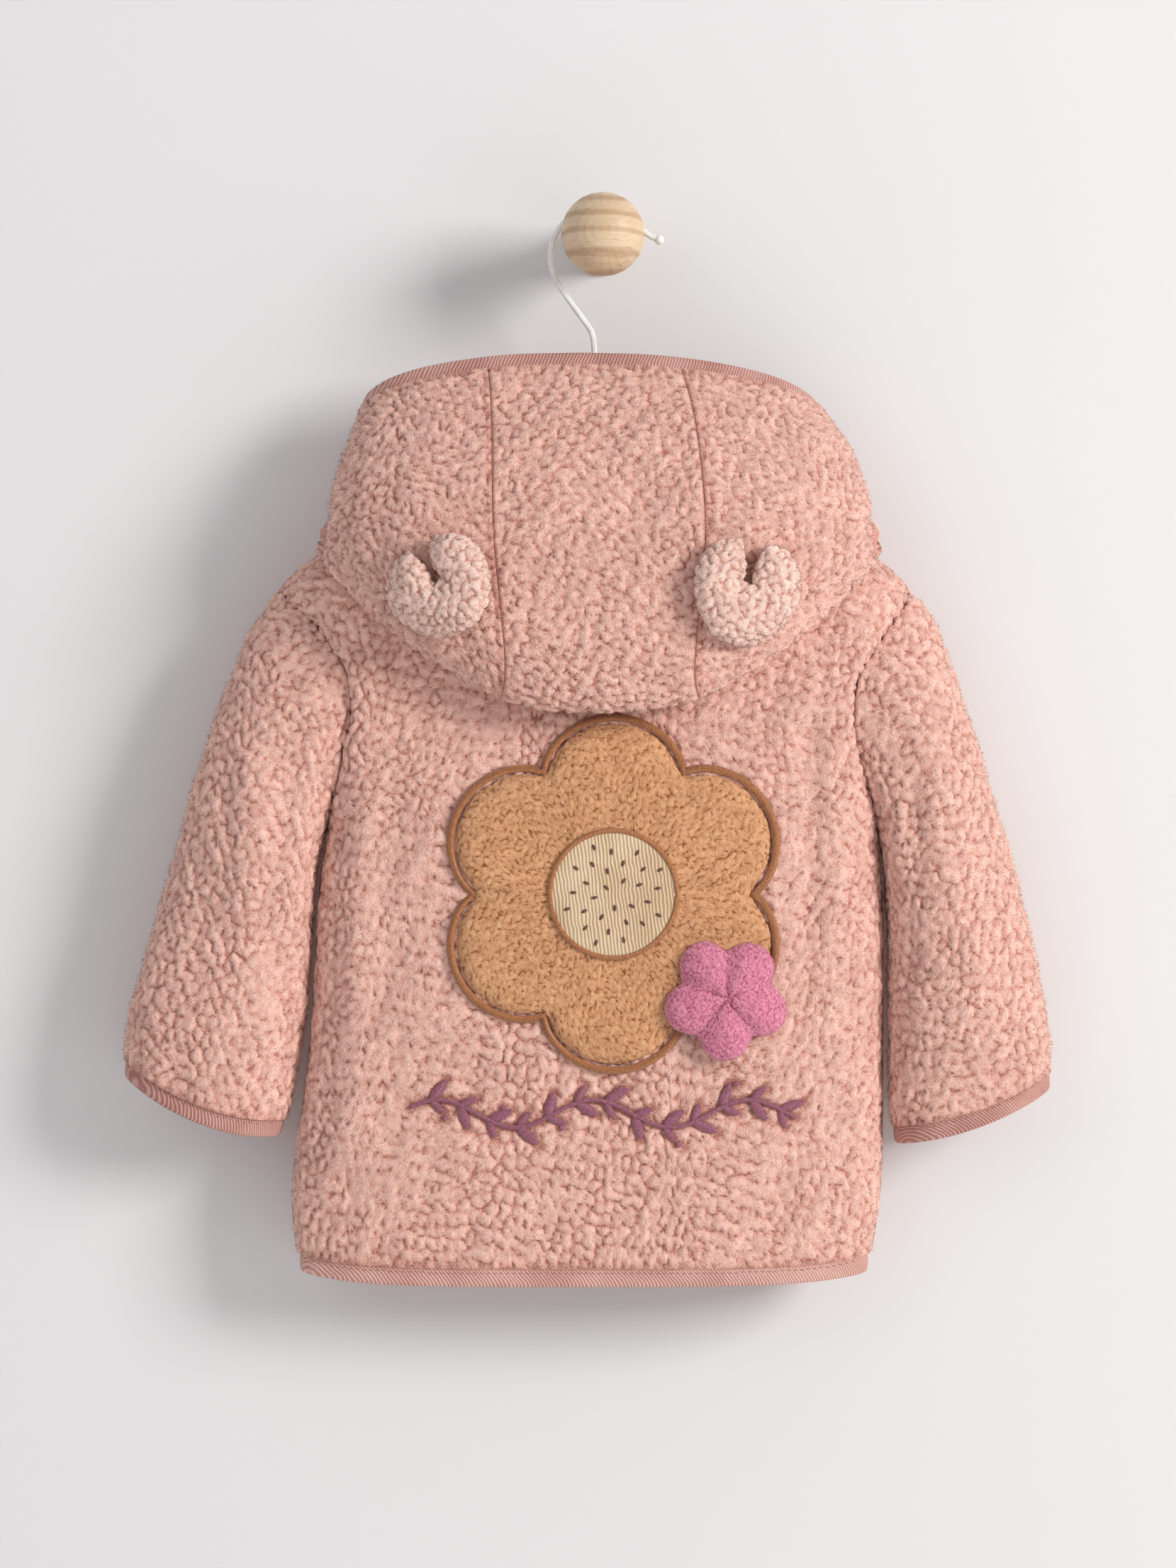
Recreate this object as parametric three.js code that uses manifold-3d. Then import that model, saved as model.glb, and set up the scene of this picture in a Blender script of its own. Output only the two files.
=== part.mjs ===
// A baby's hooded teddy-fleece jacket on a hanger, hung from a round wooden wall peg.
// Millimetres, +Z up. The origin is the centre of the peg's flat back, on the wall, which is the plane Y = 0.
// The jacket's back faces -Y, its zip faces the wall, and -X is the wearer's left.
import * as THREE from 'three';
import { mergeVertices } from 'three/addons/utils/BufferGeometryUtils.js';
import { LoftGeometry } from 'three/addons/geometries/LoftGeometry.js';
import Module from 'manifold-3d';

const wasm = await Module();
wasm.setup();

// Cloth
const SEAM_GAP = 0.3;
const FLEECE_WALL = 5;
const BINDING_HEIGHT = 8.6;
const BINDING_THICKNESS = 3.8;

// Body of the jacket
const MID_Y = -35;
const HEM_Z = -491;
const HEM_CORNER_RISE = 6;
const NECK_SIDE_Z = -122;
const SHOULDER_FALL = 34;
const SHOULDER_TIP_DROP = 13;
const SHOULDER_Z = NECK_SIDE_Z - SHOULDER_FALL - SHOULDER_TIP_DROP;
const SHOULDER_ROUND = 28;
const UNDERARM_Z = -281;
const ARMHOLE_DEPTH = 22;
const NECK_SHARE = 0.338;
const NECK_DEPTH = 20;
const BACK_NECK_DROP = 10;
const FRONT_NECK_DROP = 38;
const SIDE_POWER = 3.2;
const FRONT_EDGE_X = 7;
const ROWS_BELOW = 7;
const ROWS_ARMHOLE = 10;

// The side edges of the body from the shoulder to the hem, and how far it stands out at its middle.
const BODY = [
  { z: -169, left: -155, right: 147, depth: 29 },
  { z: -183, left: -138.5, right: 139.5, depth: 29.5 },
  { z: -196, left: -127, right: 128.5, depth: 30 },
  { z: -210, left: -120, right: 120.7, depth: 30 },
  { z: -223, left: -118, right: 118.2, depth: 30 },
  { z: -236, left: -120.7, right: 118.7, depth: 30 },
  { z: -258, left: -125.5, right: 125, depth: 30 },
  { z: -281, left: -131, right: 130.5, depth: 30 },
  { z: -306, left: -135.6, right: 133.6, depth: 29.5 },
  { z: -340, left: -136.8, right: 134.2, depth: 29 },
  { z: -380, left: -139.2, right: 133.8, depth: 28.5 },
  { z: -420, left: -144, right: 134, depth: 28 },
  { z: -450, left: -149, right: 133, depth: 27 },
  { z: -472, left: -151, right: 133.5, depth: 25.5 },
  { z: -491, left: -143.5, right: 125.5, depth: 23 },
];

// Columns of the back and the fronts as shares of the half width: six over the shoulder, six over the neck.
const SHOULDER_COLUMNS = [-1, -0.985, -0.94, -0.86, -0.74, -0.55, -NECK_SHARE];
const HALF_COLUMNS = [...SHOULDER_COLUMNS, -0.305, -0.25, -0.19, -0.13, -0.065, 0];
const FRONT_NECK_STEPS = [0.13, 0.28, 0.45, 0.63, 0.81];
const NECK_COLUMN = SHOULDER_COLUMNS.length - 1;

// The sleeves' outer and inner edges, half depth and how far the middle bows down, from armhole to cuff.
const SLEEVE_LEFT = [
  { at: 0, outerX: -155, outerZ: -169, innerX: -131, innerZ: -281, depth: 22, bow: 0 },
  { at: 1, outerX: -166, outerZ: -181, innerX: -136.5, innerZ: -300, depth: 26, bow: 0 },
  { at: 2, outerX: -179.5, outerZ: -213, innerX: -138.6, innerZ: -320, depth: 28, bow: 0 },
  { at: 3, outerX: -192, outerZ: -249, innerX: -139.6, innerZ: -341, depth: 28, bow: 0 },
  { at: 4, outerX: -204.5, outerZ: -291, innerX: -140.8, innerZ: -362, depth: 27, bow: 0 },
  { at: 5, outerX: -216, outerZ: -333, innerX: -143.4, innerZ: -384, depth: 26, bow: 0 },
  { at: 6, outerX: -226.5, outerZ: -368, innerX: -146.4, innerZ: -404, depth: 25, bow: 2.5 },
  { at: 7, outerX: -229, outerZ: -392, innerX: -150.5, innerZ: -421, depth: 23, bow: 8 },
];
const SLEEVE_RIGHT = [
  { at: 0, outerX: 147, outerZ: -169, innerX: 130.5, innerZ: -281, depth: 22, bow: 0 },
  { at: 1, outerX: 158.5, outerZ: -181, innerX: 134.6, innerZ: -300, depth: 26, bow: 0 },
  { at: 2, outerX: 169.5, outerZ: -213, innerX: 136, innerZ: -321, depth: 28, bow: 0 },
  { at: 3, outerX: 181, outerZ: -249, innerX: 136.4, innerZ: -343, depth: 28, bow: 0 },
  { at: 4, outerX: 193.5, outerZ: -291, innerX: 136.4, innerZ: -365, depth: 27, bow: 0 },
  { at: 5, outerX: 204.5, outerZ: -333, innerX: 136.4, innerZ: -387, depth: 26, bow: 0 },
  { at: 6, outerX: 212.5, outerZ: -373, innerX: 136.5, innerZ: -407, depth: 25, bow: 1.8 },
  { at: 7, outerX: 214.5, outerZ: -398, innerX: 137.5, innerZ: -424, depth: 23, bow: 5.5 },
];
const SLEEVE_ROWS = 13;
const SLEEVE_ROUNDNESS = 0.86;

// The hood, from its middle to its front corner: points of each rib from the bound edge, over the outside,
// round the fold and back under to the neck. Tip is the fold's direction in degrees, roll its half thickness.
// Out and up give the collar's first step from the neck seam.
const HOOD_SHIFT = { top: -9, low: -1.5, from: -105, reach: 44 };
const HOOD = [
  {
    at: 0, rim: [0, -60, -62], crown: [0, -75, -85], bulge: [0, -97, -150],
    fold: [0, -85, -229], under: [0, -70, -185], tip: -90, roll: 9.5, out: 3.2, up: 1.6,
  },
  {
    at: 4, rim: [46, -60, -64], crown: [48, -74, -86], bulge: [50, -95, -146],
    fold: [47, -83, -221], under: [40, -70, -176], tip: -75, roll: 9.5, out: 3.2, up: 1.8,
  },
  {
    at: 6, rim: [89, -55, -71], crown: [94, -67, -90], bulge: [99, -86, -134],
    fold: [95, -76, -193], under: [68, -67, -152], tip: -52, roll: 9.5, out: 3, up: 5,
  },
  {
    at: 8, rim: [114.5, -41, -84], crown: [120, -50, -96], bulge: [130.5, -62, -127],
    fold: [135, -54, -151], under: [86, -42, -127], tip: -72, roll: 8.5, out: 1, up: 27,
  },
  {
    at: 9, rim: [110, -27, -97], crown: [119, -32, -107], bulge: [126, -38, -123],
    fold: [127, -36, -140], under: [76, -27, -118], tip: -55, roll: 5, out: 1, up: 28,
  },
  {
    at: 10, rim: [86, -17, -105], crown: [95, -18, -111], bulge: [97, -19, -117],
    fold: [86, -19, -122], under: [52, -17, -116], tip: -30, roll: 1.5, out: 1, up: 26,
  },
  {
    at: 11, rim: [52, -14, -114], crown: [48, -13.5, -116], bulge: [42, -13, -119],
    fold: [34, -13, -124], under: [25, -14, -132], tip: -45, roll: 0.6, out: 1, up: 18,
  },
  {
    at: 12, rim: [9, -13, -144], crown: [8.8, -13, -146], bulge: [8.6, -13.4, -148.5],
    fold: [8.3, -14, -151], under: [8, -14.8, -153.5], tip: -90, roll: 0.3, out: 0.4, up: 4,
  },
];
const HOOD_LAST = 12;
const HOOD_SEAM = 4;
const HOOD_SPANS = [2, 3, 3, 2, 2, 2, 3, 1];
const HOOD_CLEARANCE = 3.4;
const TURN_COLUMN = 4;

// Ears
const EARS = [
  { name: 'ear_left', x: -75.6, z: -169, turn: 0.5, width: 51, height: 48 },
  { name: 'ear_right', x: 66.5, z: -171, turn: -0.2, width: 51, height: 53 },
];
const EAR_THICKNESS = 13;
const EAR_SLOT = 2.2;
const EAR_OPENING = 0.32;

// Appliqué
const FLOWER = { x: 5, z: -313, radius: 72, scallop: 9, petals: 6, thickness: 5 };
const FLOWER_BORDER = { width: 3.6, height: 2.6 };
const FLOWER_HEART = { radius: 31, thickness: 1.4 };
const BLOSSOM = { x: 58, z: -362, radius: 25, scallop: 5, petals: 5, thickness: 8, lift: 6.2 };
const APPLIQUE_GAP = 0.45;

// Zip
const TAPE_WIDTH = 13;
const TAPE_THICKNESS = 1;
const TAPE_EDGE_X = 1.2;
const ZIP_END_Z = -498;
const SLIDER = { z: -190, width: 9, length: 12, plate: 1.2, channel: 3.4, bridge: 3.2 };
const PULL = { length: 20, width: 6, thickness: 1.2, bar: 0.7, eye: 2.2 };

// Hanger and peg
const WIRE_RADIUS = 1.5;
const HOOK = [
  [-4, -108], [-4, -80], [-4.1, -52.2], [-5.2, -45], [-9.5, -38.6], [-17.1, -28.1], [-22.7, -19.3],
  [-24.9, -10.2], [-23.7, -1], [-18.9, 7.1], [-10.5, 12.6], [0, 13.85], [10.5, 10.6], [18, 4.7],
  [22.4, 1.2], [27.1, -0.7],
];
const HOOK_TIP_RADIUS = 2.4;
const FRAME_WIRE_RADIUS = 1.75;
const FRAME_HALF = 118;
const FRAME_BAR_Z = -182;
const HANGER_Y = MID_Y - 0.55;
const PEG = { ball: 20, ballY: -55, stem: 12, root: 14 };

// Colours
const FINISH = {
  fleece: new THREE.MeshStandardMaterial({ color: 0xd29a90, roughness: 0.95 }),
  ear: new THREE.MeshStandardMaterial({ color: 0xdba79b, roughness: 0.95 }),
  binding: new THREE.MeshStandardMaterial({ color: 0xb97f7a, roughness: 0.85 }),
  caramel: new THREE.MeshStandardMaterial({ color: 0xb9793f, roughness: 0.95 }),
  satin: new THREE.MeshStandardMaterial({ color: 0xa5612c, roughness: 0.5 }),
  cream: new THREE.MeshStandardMaterial({ color: 0xdcc3a0, roughness: 0.6 }),
  plush: new THREE.MeshStandardMaterial({ color: 0xcc6f92, roughness: 0.9 }),
  tape: new THREE.MeshStandardMaterial({ color: 0xb98a84, roughness: 0.9 }),
  metal: new THREE.MeshStandardMaterial({ color: 0xb9b6b3, roughness: 0.35, metalness: 1 }),
  white: new THREE.MeshStandardMaterial({ color: 0xf3f2ef, roughness: 0.35 }),
  wood: new THREE.MeshStandardMaterial({ color: 0xd9b58c, roughness: 0.6 }),
};

const jacket = new THREE.Group();
const point = (x, y, z) => new THREE.Vector3(x, y, z);
const clamp = THREE.MathUtils.clamp;
const lerp = THREE.MathUtils.lerp;
const times = (count, make) => Array.from({ length: count }, (_, i) => make(i));

function add(name, geometry, material) {
  const mesh = new THREE.Mesh(geometry, material);
  mesh.name = name;
  jacket.add(mesh);
  return mesh;
}

// One column of a table at any place between its rows, as a smooth curve.
function sample(table, place, column, value) {
  const falling = table[0][place] > table[table.length - 1][place];
  const key = (row) => (falling ? -row[place] : row[place]);
  const want = falling ? -value : value;
  const last = table.length - 1;
  if (want <= key(table[0])) return table[0][column];
  if (want >= key(table[last])) return table[last][column];
  const i = table.findIndex((row) => key(row) > want) - 1;
  const slope = (k) => {
    const a = table[Math.max(k - 1, 0)];
    const b = table[Math.min(k + 1, last)];
    return (b[column] - a[column]) / (key(b) - key(a));
  };
  const step = key(table[i + 1]) - key(table[i]);
  const t = (want - key(table[i])) / step;
  const t2 = t * t;
  const t3 = t2 * t;
  return (
    (2 * t3 - 3 * t2 + 1) * table[i][column] +
    (t3 - 2 * t2 + t) * step * slope(i) +
    (3 * t2 - 2 * t3) * table[i + 1][column] +
    (t3 - t2) * step * slope(i + 1)
  );
}

const onBody = (column, z) => sample(BODY, 'z', column, z);
const bodyCentre = (z) => (onBody('left', z) + onBody('right', z)) / 2;
const bodyHalf = (z) => (onBody('right', z) - onBody('left', z)) / 2;
const roundOver = (t) => Math.sqrt(1 - (1 - clamp(t, 0, 1)) ** 2);
const neckArc = (u) => Math.sqrt(Math.max(0, 1 - (u / NECK_SHARE) ** 2));
const hemZ = (u) => HEM_Z + HEM_CORNER_RISE * Math.abs(u) ** 6;

// Height of a panel's top edge at a share u of the half width: neck line, then shoulder seam.
function topZ(face, u) {
  const out = (Math.abs(u) - NECK_SHARE) / (1 - NECK_SHARE);
  if (out >= 0) return NECK_SIDE_Z - SHOULDER_FALL * out - SHOULDER_TIP_DROP * out ** 10;
  return NECK_SIDE_Z - (face < 0 ? BACK_NECK_DROP : FRONT_NECK_DROP) * neckArc(u);
}

function armholeDepth(z) {
  const centre = (SHOULDER_Z + UNDERARM_Z) / 2;
  const reach = (SHOULDER_Z - UNDERARM_Z) / 2;
  return ARMHOLE_DEPTH * Math.sqrt(Math.max(0, 1 - ((z - centre) / reach) ** 2));
}

// How far the outside of the body stands out from its middle plane.
function bodyDepth(face, x, z) {
  const u = clamp((x - bodyCentre(z)) / bodyHalf(z), -1, 1);
  const side = armholeDepth(z);
  const crown = (1 - Math.abs(u) ** SIDE_POWER) ** (1 / SIDE_POWER);
  const middle = (onBody('depth', z) - side) * crown;
  const neck = Math.abs(u) < NECK_SHARE ? NECK_DEPTH * neckArc(u) : 0;
  return side + neck + (middle - neck) * roundOver((topZ(face, u) - z) / SHOULDER_ROUND);
}

// Unit normals of a grid of points, from its neighbours along rows and columns.
function gridNormals(grid, ring, sign) {
  return grid.map((row, i) =>
    row.map((_, j) => {
      const n = row.length;
      const up = grid[Math.min(i + 1, grid.length - 1)][j];
      const down = grid[Math.max(i - 1, 0)][j];
      const right = row[ring ? (j + 1) % n : Math.min(j + 1, n - 1)];
      const left = row[ring ? (j + n - 1) % n : Math.max(j - 1, 0)];
      const across = right.clone().sub(left);
      return across.cross(up.clone().sub(down)).normalize().multiplyScalar(sign);
    }),
  );
}

const inset = (grid, normals, depth) =>
  grid.map((row, i) => row.map((p, j) => p.clone().addScaledVector(normals[i][j], -depth)));

// Adds a four-cornered face to an index as two triangles, split along its shorter diagonal, so that
// two pieces that meet along a twisted cut face split it alike.
function addQuad(index, positions, a, b, c, d) {
  const apart = (k, l) => Math.hypot(...[0, 1, 2].map((i) => positions[3 * k + i] - positions[3 * l + i]));
  if (apart(a, c) <= apart(b, d)) index.push(a, b, c, a, c, d);
  else index.push(a, b, d, b, c, d);
}

// The closed wall between an outer and an inner grid, as a strip or as a ring open at both ends.
function wall(outer, inner, ring = false) {
  const rows = outer.length;
  const columns = outer[0].length;
  const positions = [...outer.flat(), ...inner.flat()].flatMap((p) => p.toArray());
  const out = (i, j) => i * columns + (j % columns);
  const into = (i, j) => rows * columns + out(i, j);
  const index = [];
  const quad = (...corners) => addQuad(index, positions, ...corners);
  const spans = ring ? columns : columns - 1;
  for (let i = 0; i < rows - 1; i++) {
    for (let j = 0; j < spans; j++) {
      quad(out(i, j), out(i, j + 1), out(i + 1, j + 1), out(i + 1, j));
      quad(into(i, j), into(i + 1, j), into(i + 1, j + 1), into(i, j + 1));
    }
  }
  for (let j = 0; j < spans; j++) {
    quad(out(0, j), into(0, j), into(0, j + 1), out(0, j + 1));
    quad(out(rows - 1, j), out(rows - 1, j + 1), into(rows - 1, j + 1), into(rows - 1, j));
  }
  for (let i = 0; i < rows - 1 && !ring; i++) {
    quad(out(i, 0), out(i + 1, 0), into(i + 1, 0), into(i, 0));
    quad(out(i, columns - 1), into(i, columns - 1), into(i + 1, columns - 1), out(i + 1, columns - 1));
  }
  return faceOut(positions, index);
}

// A geometry whose faces point outwards, whichever way its grid ran.
function faceOut(positions, index) {
  const at = (k) => point(positions[3 * k], positions[3 * k + 1], positions[3 * k + 2]);
  let volume = 0;
  for (let k = 0; k < index.length; k += 3) {
    volume += at(index[k]).dot(at(index[k + 1]).cross(at(index[k + 2])));
  }
  const geometry = new THREE.BufferGeometry();
  geometry.setAttribute('position', new THREE.Float32BufferAttribute(positions, 3));
  geometry.setIndex(volume > 0 ? index : [...index].reverse());
  geometry.computeVertexNormals();
  return geometry;
}

// A loft's closed geometry, with shared points merged. Each section is turned so that it runs
// anticlockwise seen from the loft's end, as the loft needs for faces that point outwards.
function loft(sections, { closedPath = false } = {}) {
  const middleOf = (ring) => ring.reduce((sum, p) => sum.add(p), point(0, 0, 0)).divideScalar(ring.length);
  const middle = middleOf(sections[0]);
  const round = point(0, 0, 0);
  sections[0].forEach((p, k) => {
    const next = sections[0][(k + 1) % sections[0].length];
    round.add(p.clone().sub(middle).cross(next.clone().sub(middle)));
  });
  const backwards = round.dot(middleOf(sections[1]).sub(middle)) < 0;
  const turned = backwards ? sections.map((ring) => [...ring].reverse()) : sections;
  const rings = closedPath ? [...turned, turned[0]] : turned;
  const lofted = new LoftGeometry(rings, { capStart: !closedPath, capEnd: !closedPath });
  const bare = new THREE.BufferGeometry();
  bare.setAttribute('position', lofted.attributes.position);
  bare.setIndex(lofted.index);
  const merged = mergeVertices(bare, 1e-4);
  return faceOut([...merged.attributes.position.array], [...merged.index.array]);
}

function toSolid(geometry) {
  const bare = geometry.clone();
  bare.deleteAttribute('normal');
  bare.deleteAttribute('uv');
  const merged = mergeVertices(bare, 1e-3);
  const mesh = new wasm.Mesh({
    numProp: 3,
    vertProperties: merged.attributes.position.array,
    triVerts: new Uint32Array(merged.index.array),
  });
  return new wasm.Manifold(mesh);
}

function fromSolid(solid) {
  const mesh = solid.getMesh();
  const geometry = new THREE.BufferGeometry();
  geometry.setAttribute('position', new THREE.Float32BufferAttribute(mesh.vertProperties, 3));
  geometry.setIndex([...mesh.triVerts]);
  geometry.computeVertexNormals();
  return geometry;
}

const join = (...geometries) => fromSolid(geometries.map(toSolid).reduce((a, b) => a.add(b)));

// Rows of the body panels, as shares of the way from hem to shoulder: even below the underarm,
// and round the armhole at the sleeve's own points.
const edgeRows = [
  ...times(ROWS_BELOW, (i) => lerp(hemZ(1), UNDERARM_Z, i / ROWS_BELOW)),
  ...times(ROWS_ARMHOLE + 1, (j) => {
    const swing = Math.cos((Math.PI * j) / ROWS_ARMHOLE);
    return (SHOULDER_Z + UNDERARM_Z) / 2 - ((SHOULDER_Z - UNDERARM_Z) / 2) * swing;
  }),
];
const rowShares = edgeRows.map((z) => (z - hemZ(1)) / (SHOULDER_Z - hemZ(1)));

// The way a panel's wall is thick at its seams, so that neighbours meet with the same cut face.
function seamNormal(face, u, row, edge, normal) {
  const n = normal.clone();
  const lastRow = rowShares.length - 1;
  if (edge && row < ROWS_BELOW) n.y = 0;
  if (edge && row < ROWS_BELOW) n.z = 0;
  if (edge && row >= ROWS_BELOW) {
    const angle = (Math.PI * (row - ROWS_BELOW)) / ROWS_ARMHOLE;
    n.set(0, (face * Math.sin(angle)) / ARMHOLE_DEPTH, (-2 * Math.cos(angle)) / (SHOULDER_Z - UNDERARM_Z));
  } else if (row === lastRow && Math.abs(u) >= NECK_SHARE) {
    n.y = 0;
  } else if (row === lastRow) {
    const arc = neckArc(u);
    const round = point(u / NECK_SHARE / 50, (face * arc) / NECK_DEPTH, 0).normalize();
    n.copy(round.multiplyScalar(arc)).add(point(0, 0, 1 - arc));
  }
  if (row === 0) n.z = 0;
  return n.normalize();
}

// One body panel. Each column gives its x at any height, and is cut straight where it is a front edge.
function panel(face, columns) {
  const top = BODY[0].z;
  const shares = columns.map((column) => (column.x(top) - bodyCentre(top)) / bodyHalf(top));
  const outer = rowShares.map((share) =>
    columns.map((column, j) => {
      const z = lerp(hemZ(shares[j]), topZ(face, shares[j]), share);
      const x = column.x(z);
      return point(x, MID_Y + face * (SEAM_GAP / 2 + bodyDepth(face, x, z)), z);
    }),
  );
  const normals = gridNormals(outer, false, 1).map((row, i) =>
    row.map((normal, j) => {
      const fixed = seamNormal(face, shares[j], i, Math.abs(shares[j]) > 0.999, normal);
      return columns[j].cut ? fixed.setX(0).normalize() : fixed;
    }),
  );
  return { outer, inner: inset(outer, normals, FLEECE_WALL) };
}

const shareColumn = (u) => ({ x: (z) => bodyCentre(z) + u * bodyHalf(z) });
const towardFront = (side) => (step) => ({
  x: (z) => lerp(shareColumn(side * NECK_SHARE).x(z), side * FRONT_EDGE_X, step),
});
const frontColumns = (side) => [
  ...SHOULDER_COLUMNS.map((u) => shareColumn(-side * u)),
  ...FRONT_NECK_STEPS.map(towardFront(side)),
  { x: () => side * FRONT_EDGE_X, cut: true },
];
const back = panel(-1, [...HALF_COLUMNS, ...HALF_COLUMNS.slice(0, -1).reverse().map((u) => -u)].map(shareColumn));
const frontLeft = panel(1, frontColumns(-1).reverse());
const frontRight = panel(1, frontColumns(1));
const backMesh = add('back', wall(back.outer, back.inner), FINISH.fleece);
add('front_left', wall(frontLeft.outer, frontLeft.inner), FINISH.fleece);
add('front_right', wall(frontRight.outer, frontRight.inner), FINISH.fleece);

const midway = (a, b) => a.clone().lerp(b, 0.5);
const lastOf = (list) => list[list.length - 1];

// The armhole's edge as a ring: up the back from the underarm, over the shoulder and down the front.
function armholeRing(skin, side) {
  const pick = (row) => (side < 0 ? row[0] : lastOf(row));
  const pickFront = (row) => (side < 0 ? lastOf(row) : row[0]);
  const behind = back[skin].slice(ROWS_BELOW).map(pick);
  const front = (side < 0 ? frontLeft : frontRight)[skin].slice(ROWS_BELOW).map(pickFront);
  const ring = [midway(behind[0], front[0])];
  for (let j = 1; j < ROWS_ARMHOLE; j++) ring.push(behind[j]);
  ring.push(midway(lastOf(behind), lastOf(front)));
  for (let j = ROWS_ARMHOLE - 1; j > 0; j--) ring.push(front[j]);
  return ring;
}

// A sleeve's plain ring at a share t of its length.
function sleeveRing(table, t) {
  const at = t * lastOf(table).at;
  const on = (column) => sample(table, 'at', column, at);
  const inner = point(on('innerX'), MID_Y, on('innerZ'));
  const outer = point(on('outerX'), MID_Y, on('outerZ'));
  const power = lerp(1, SLEEVE_ROUNDNESS, clamp(t * 4, 0, 1));
  return times(2 * ROWS_ARMHOLE, (j) => {
    const angle = (Math.PI * j) / ROWS_ARMHOLE;
    const swing = -Math.sign(Math.cos(angle)) * Math.abs(Math.cos(angle)) ** power;
    const out = Math.sign(Math.sin(angle)) * Math.abs(Math.sin(angle)) ** power;
    const p = inner.clone().lerp(outer, (1 + swing) / 2);
    return p.set(p.x, MID_Y - on('depth') * out, p.z - on('bow') * (1 - swing * swing));
  });
}

function sleeve(name, table, side) {
  const seam = point(side * SEAM_GAP, 0, 0);
  const root = armholeRing('outer', side);
  const plain = sleeveRing(table, 0);
  const outer = times(SLEEVE_ROWS, (i) => {
    const t = i / (SLEEVE_ROWS - 1);
    const fade = (1 - t) ** 4;
    return sleeveRing(table, t).map((p, j) =>
      p.addScaledVector(root[j].clone().sub(plain[j]), fade).add(seam),
    );
  });
  const inner = inset(outer, gridNormals(outer, true, side < 0 ? 1 : -1), FLEECE_WALL);
  inner[0] = armholeRing('inner', side).map((p) => p.clone().add(seam));
  inner[1] = inner[0].map((p, j) => p.clone().add(outer[1][j]).sub(outer[0][j]));
  add(name, wall(outer, inner, true), FINISH.fleece);
  return { outer, inner };
}

const sleeveLeft = sleeve('sleeve_left', SLEEVE_LEFT, -1);
const sleeveRight = sleeve('sleeve_right', SLEEVE_RIGHT, 1);

// The neck line from the left front over the back to the right front.
function neckLine(skin) {
  const top = (panelGrid) => lastOf(panelGrid[skin]);
  const left = top(frontLeft);
  const right = top(frontRight);
  const behind = top(back);
  const across = behind.slice(NECK_COLUMN, behind.length - NECK_COLUMN);
  const neckSide = left.length - 1 - NECK_COLUMN;
  const corners = [
    ...left.slice(0, neckSide),
    midway(left[neckSide], across[0]),
    ...across.slice(1, -1),
    midway(right[NECK_COLUMN], lastOf(across)),
    ...right.slice(NECK_COLUMN + 1),
  ];
  const centre = point(bodyCentre(0), MID_Y, 0);
  return corners.map((p) => {
    const inward = centre.x - p.x;
    return p.clone().add(point((SEAM_GAP * inward) / 50, 0, SEAM_GAP));
  });
}

// Moves a point up and out until it is clear of the body's outside.
function clearOfBody(p, clearance) {
  const face = p.y < MID_Y ? -1 : 1;
  const inside = () => {
    const u = clamp((p.x - bodyCentre(p.z)) / bodyHalf(p.z), -1, 1);
    if (p.z > topZ(face, u) + clearance) return false;
    const depth = bodyDepth(face, p.x, Math.min(p.z, topZ(face, u)));
    return Math.abs(p.y - MID_Y) < depth + clearance;
  };
  while (inside()) p.add(point(0, face * 0.4, 0.4));
  return p;
}

// One rib of the hood at column k, from its bound edge to the neck.
function hoodRib(k, neckPoint) {
  const offset = k - HOOD_LAST;
  const side = Math.sign(offset) || 1;
  const at = Math.abs(offset);
  const stations = HOOD.map((row) => ({
    at: row.at,
    tip: row.tip,
    roll: row.roll,
    out: row.out,
    up: row.up,
    ...Object.fromEntries(
      ['rim', 'crown', 'bulge', 'fold', 'under'].flatMap((name) =>
        ['X', 'Y', 'Z'].map((axis, i) => [name + axis, row[name][i]]),
      ),
    ),
  }));
  const on = (column) => sample(stations, 'at', column, at);
  const place = (name) => {
    const z = on(name + 'Z');
    const share = clamp((z - HOOD_SHIFT.from) / HOOD_SHIFT.reach, 0, 1);
    const shift = at < 11 ? lerp(HOOD_SHIFT.low, HOOD_SHIFT.top, share) : 0;
    return point(side * on(name + 'X') + shift, on(name + 'Y'), z);
  };
  const tip = THREE.MathUtils.degToRad(on('tip'));
  const away = point(side * Math.cos(tip), 0, Math.sin(tip)).multiplyScalar(-1.15 * on('roll'));
  const fold = place('fold');
  const foldOut = fold.clone().add(away).add(point(0, -on('roll') * (at > 9 ? -1 : 1), 0));
  const foldIn = fold.clone().add(away).add(point(0, on('roll') * (at > 9 ? -1 : 1), 0));
  const under = clearOfBody(place('under'), HOOD_CLEARANCE);
  const round = point((neckPoint.x - bodyCentre(0)) / 50, (neckPoint.y - MID_Y) / NECK_DEPTH, 0);
  const collar = neckPoint.clone().addScaledVector(round.normalize(), on('out')).add(point(0, 0, on('up')));
  const curve = new THREE.CatmullRomCurve3(
    [place('rim'), place('crown'), place('bulge'), foldOut, fold, foldIn, under, collar, neckPoint],
    false,
    'centripetal',
  );
  const rib = [];
  HOOD_SPANS.forEach((count, span) => {
    for (let i = 0; i < count; i++) {
      const p = curve.getPoint((span + i / count) / HOOD_SPANS.length);
      rib.push(span >= 5 && span < 7 ? clearOfBody(p, i || span < 7 ? HOOD_CLEARANCE : 1) : p);
    }
  });
  rib.push(neckPoint.clone());
  return rib;
}

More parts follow.
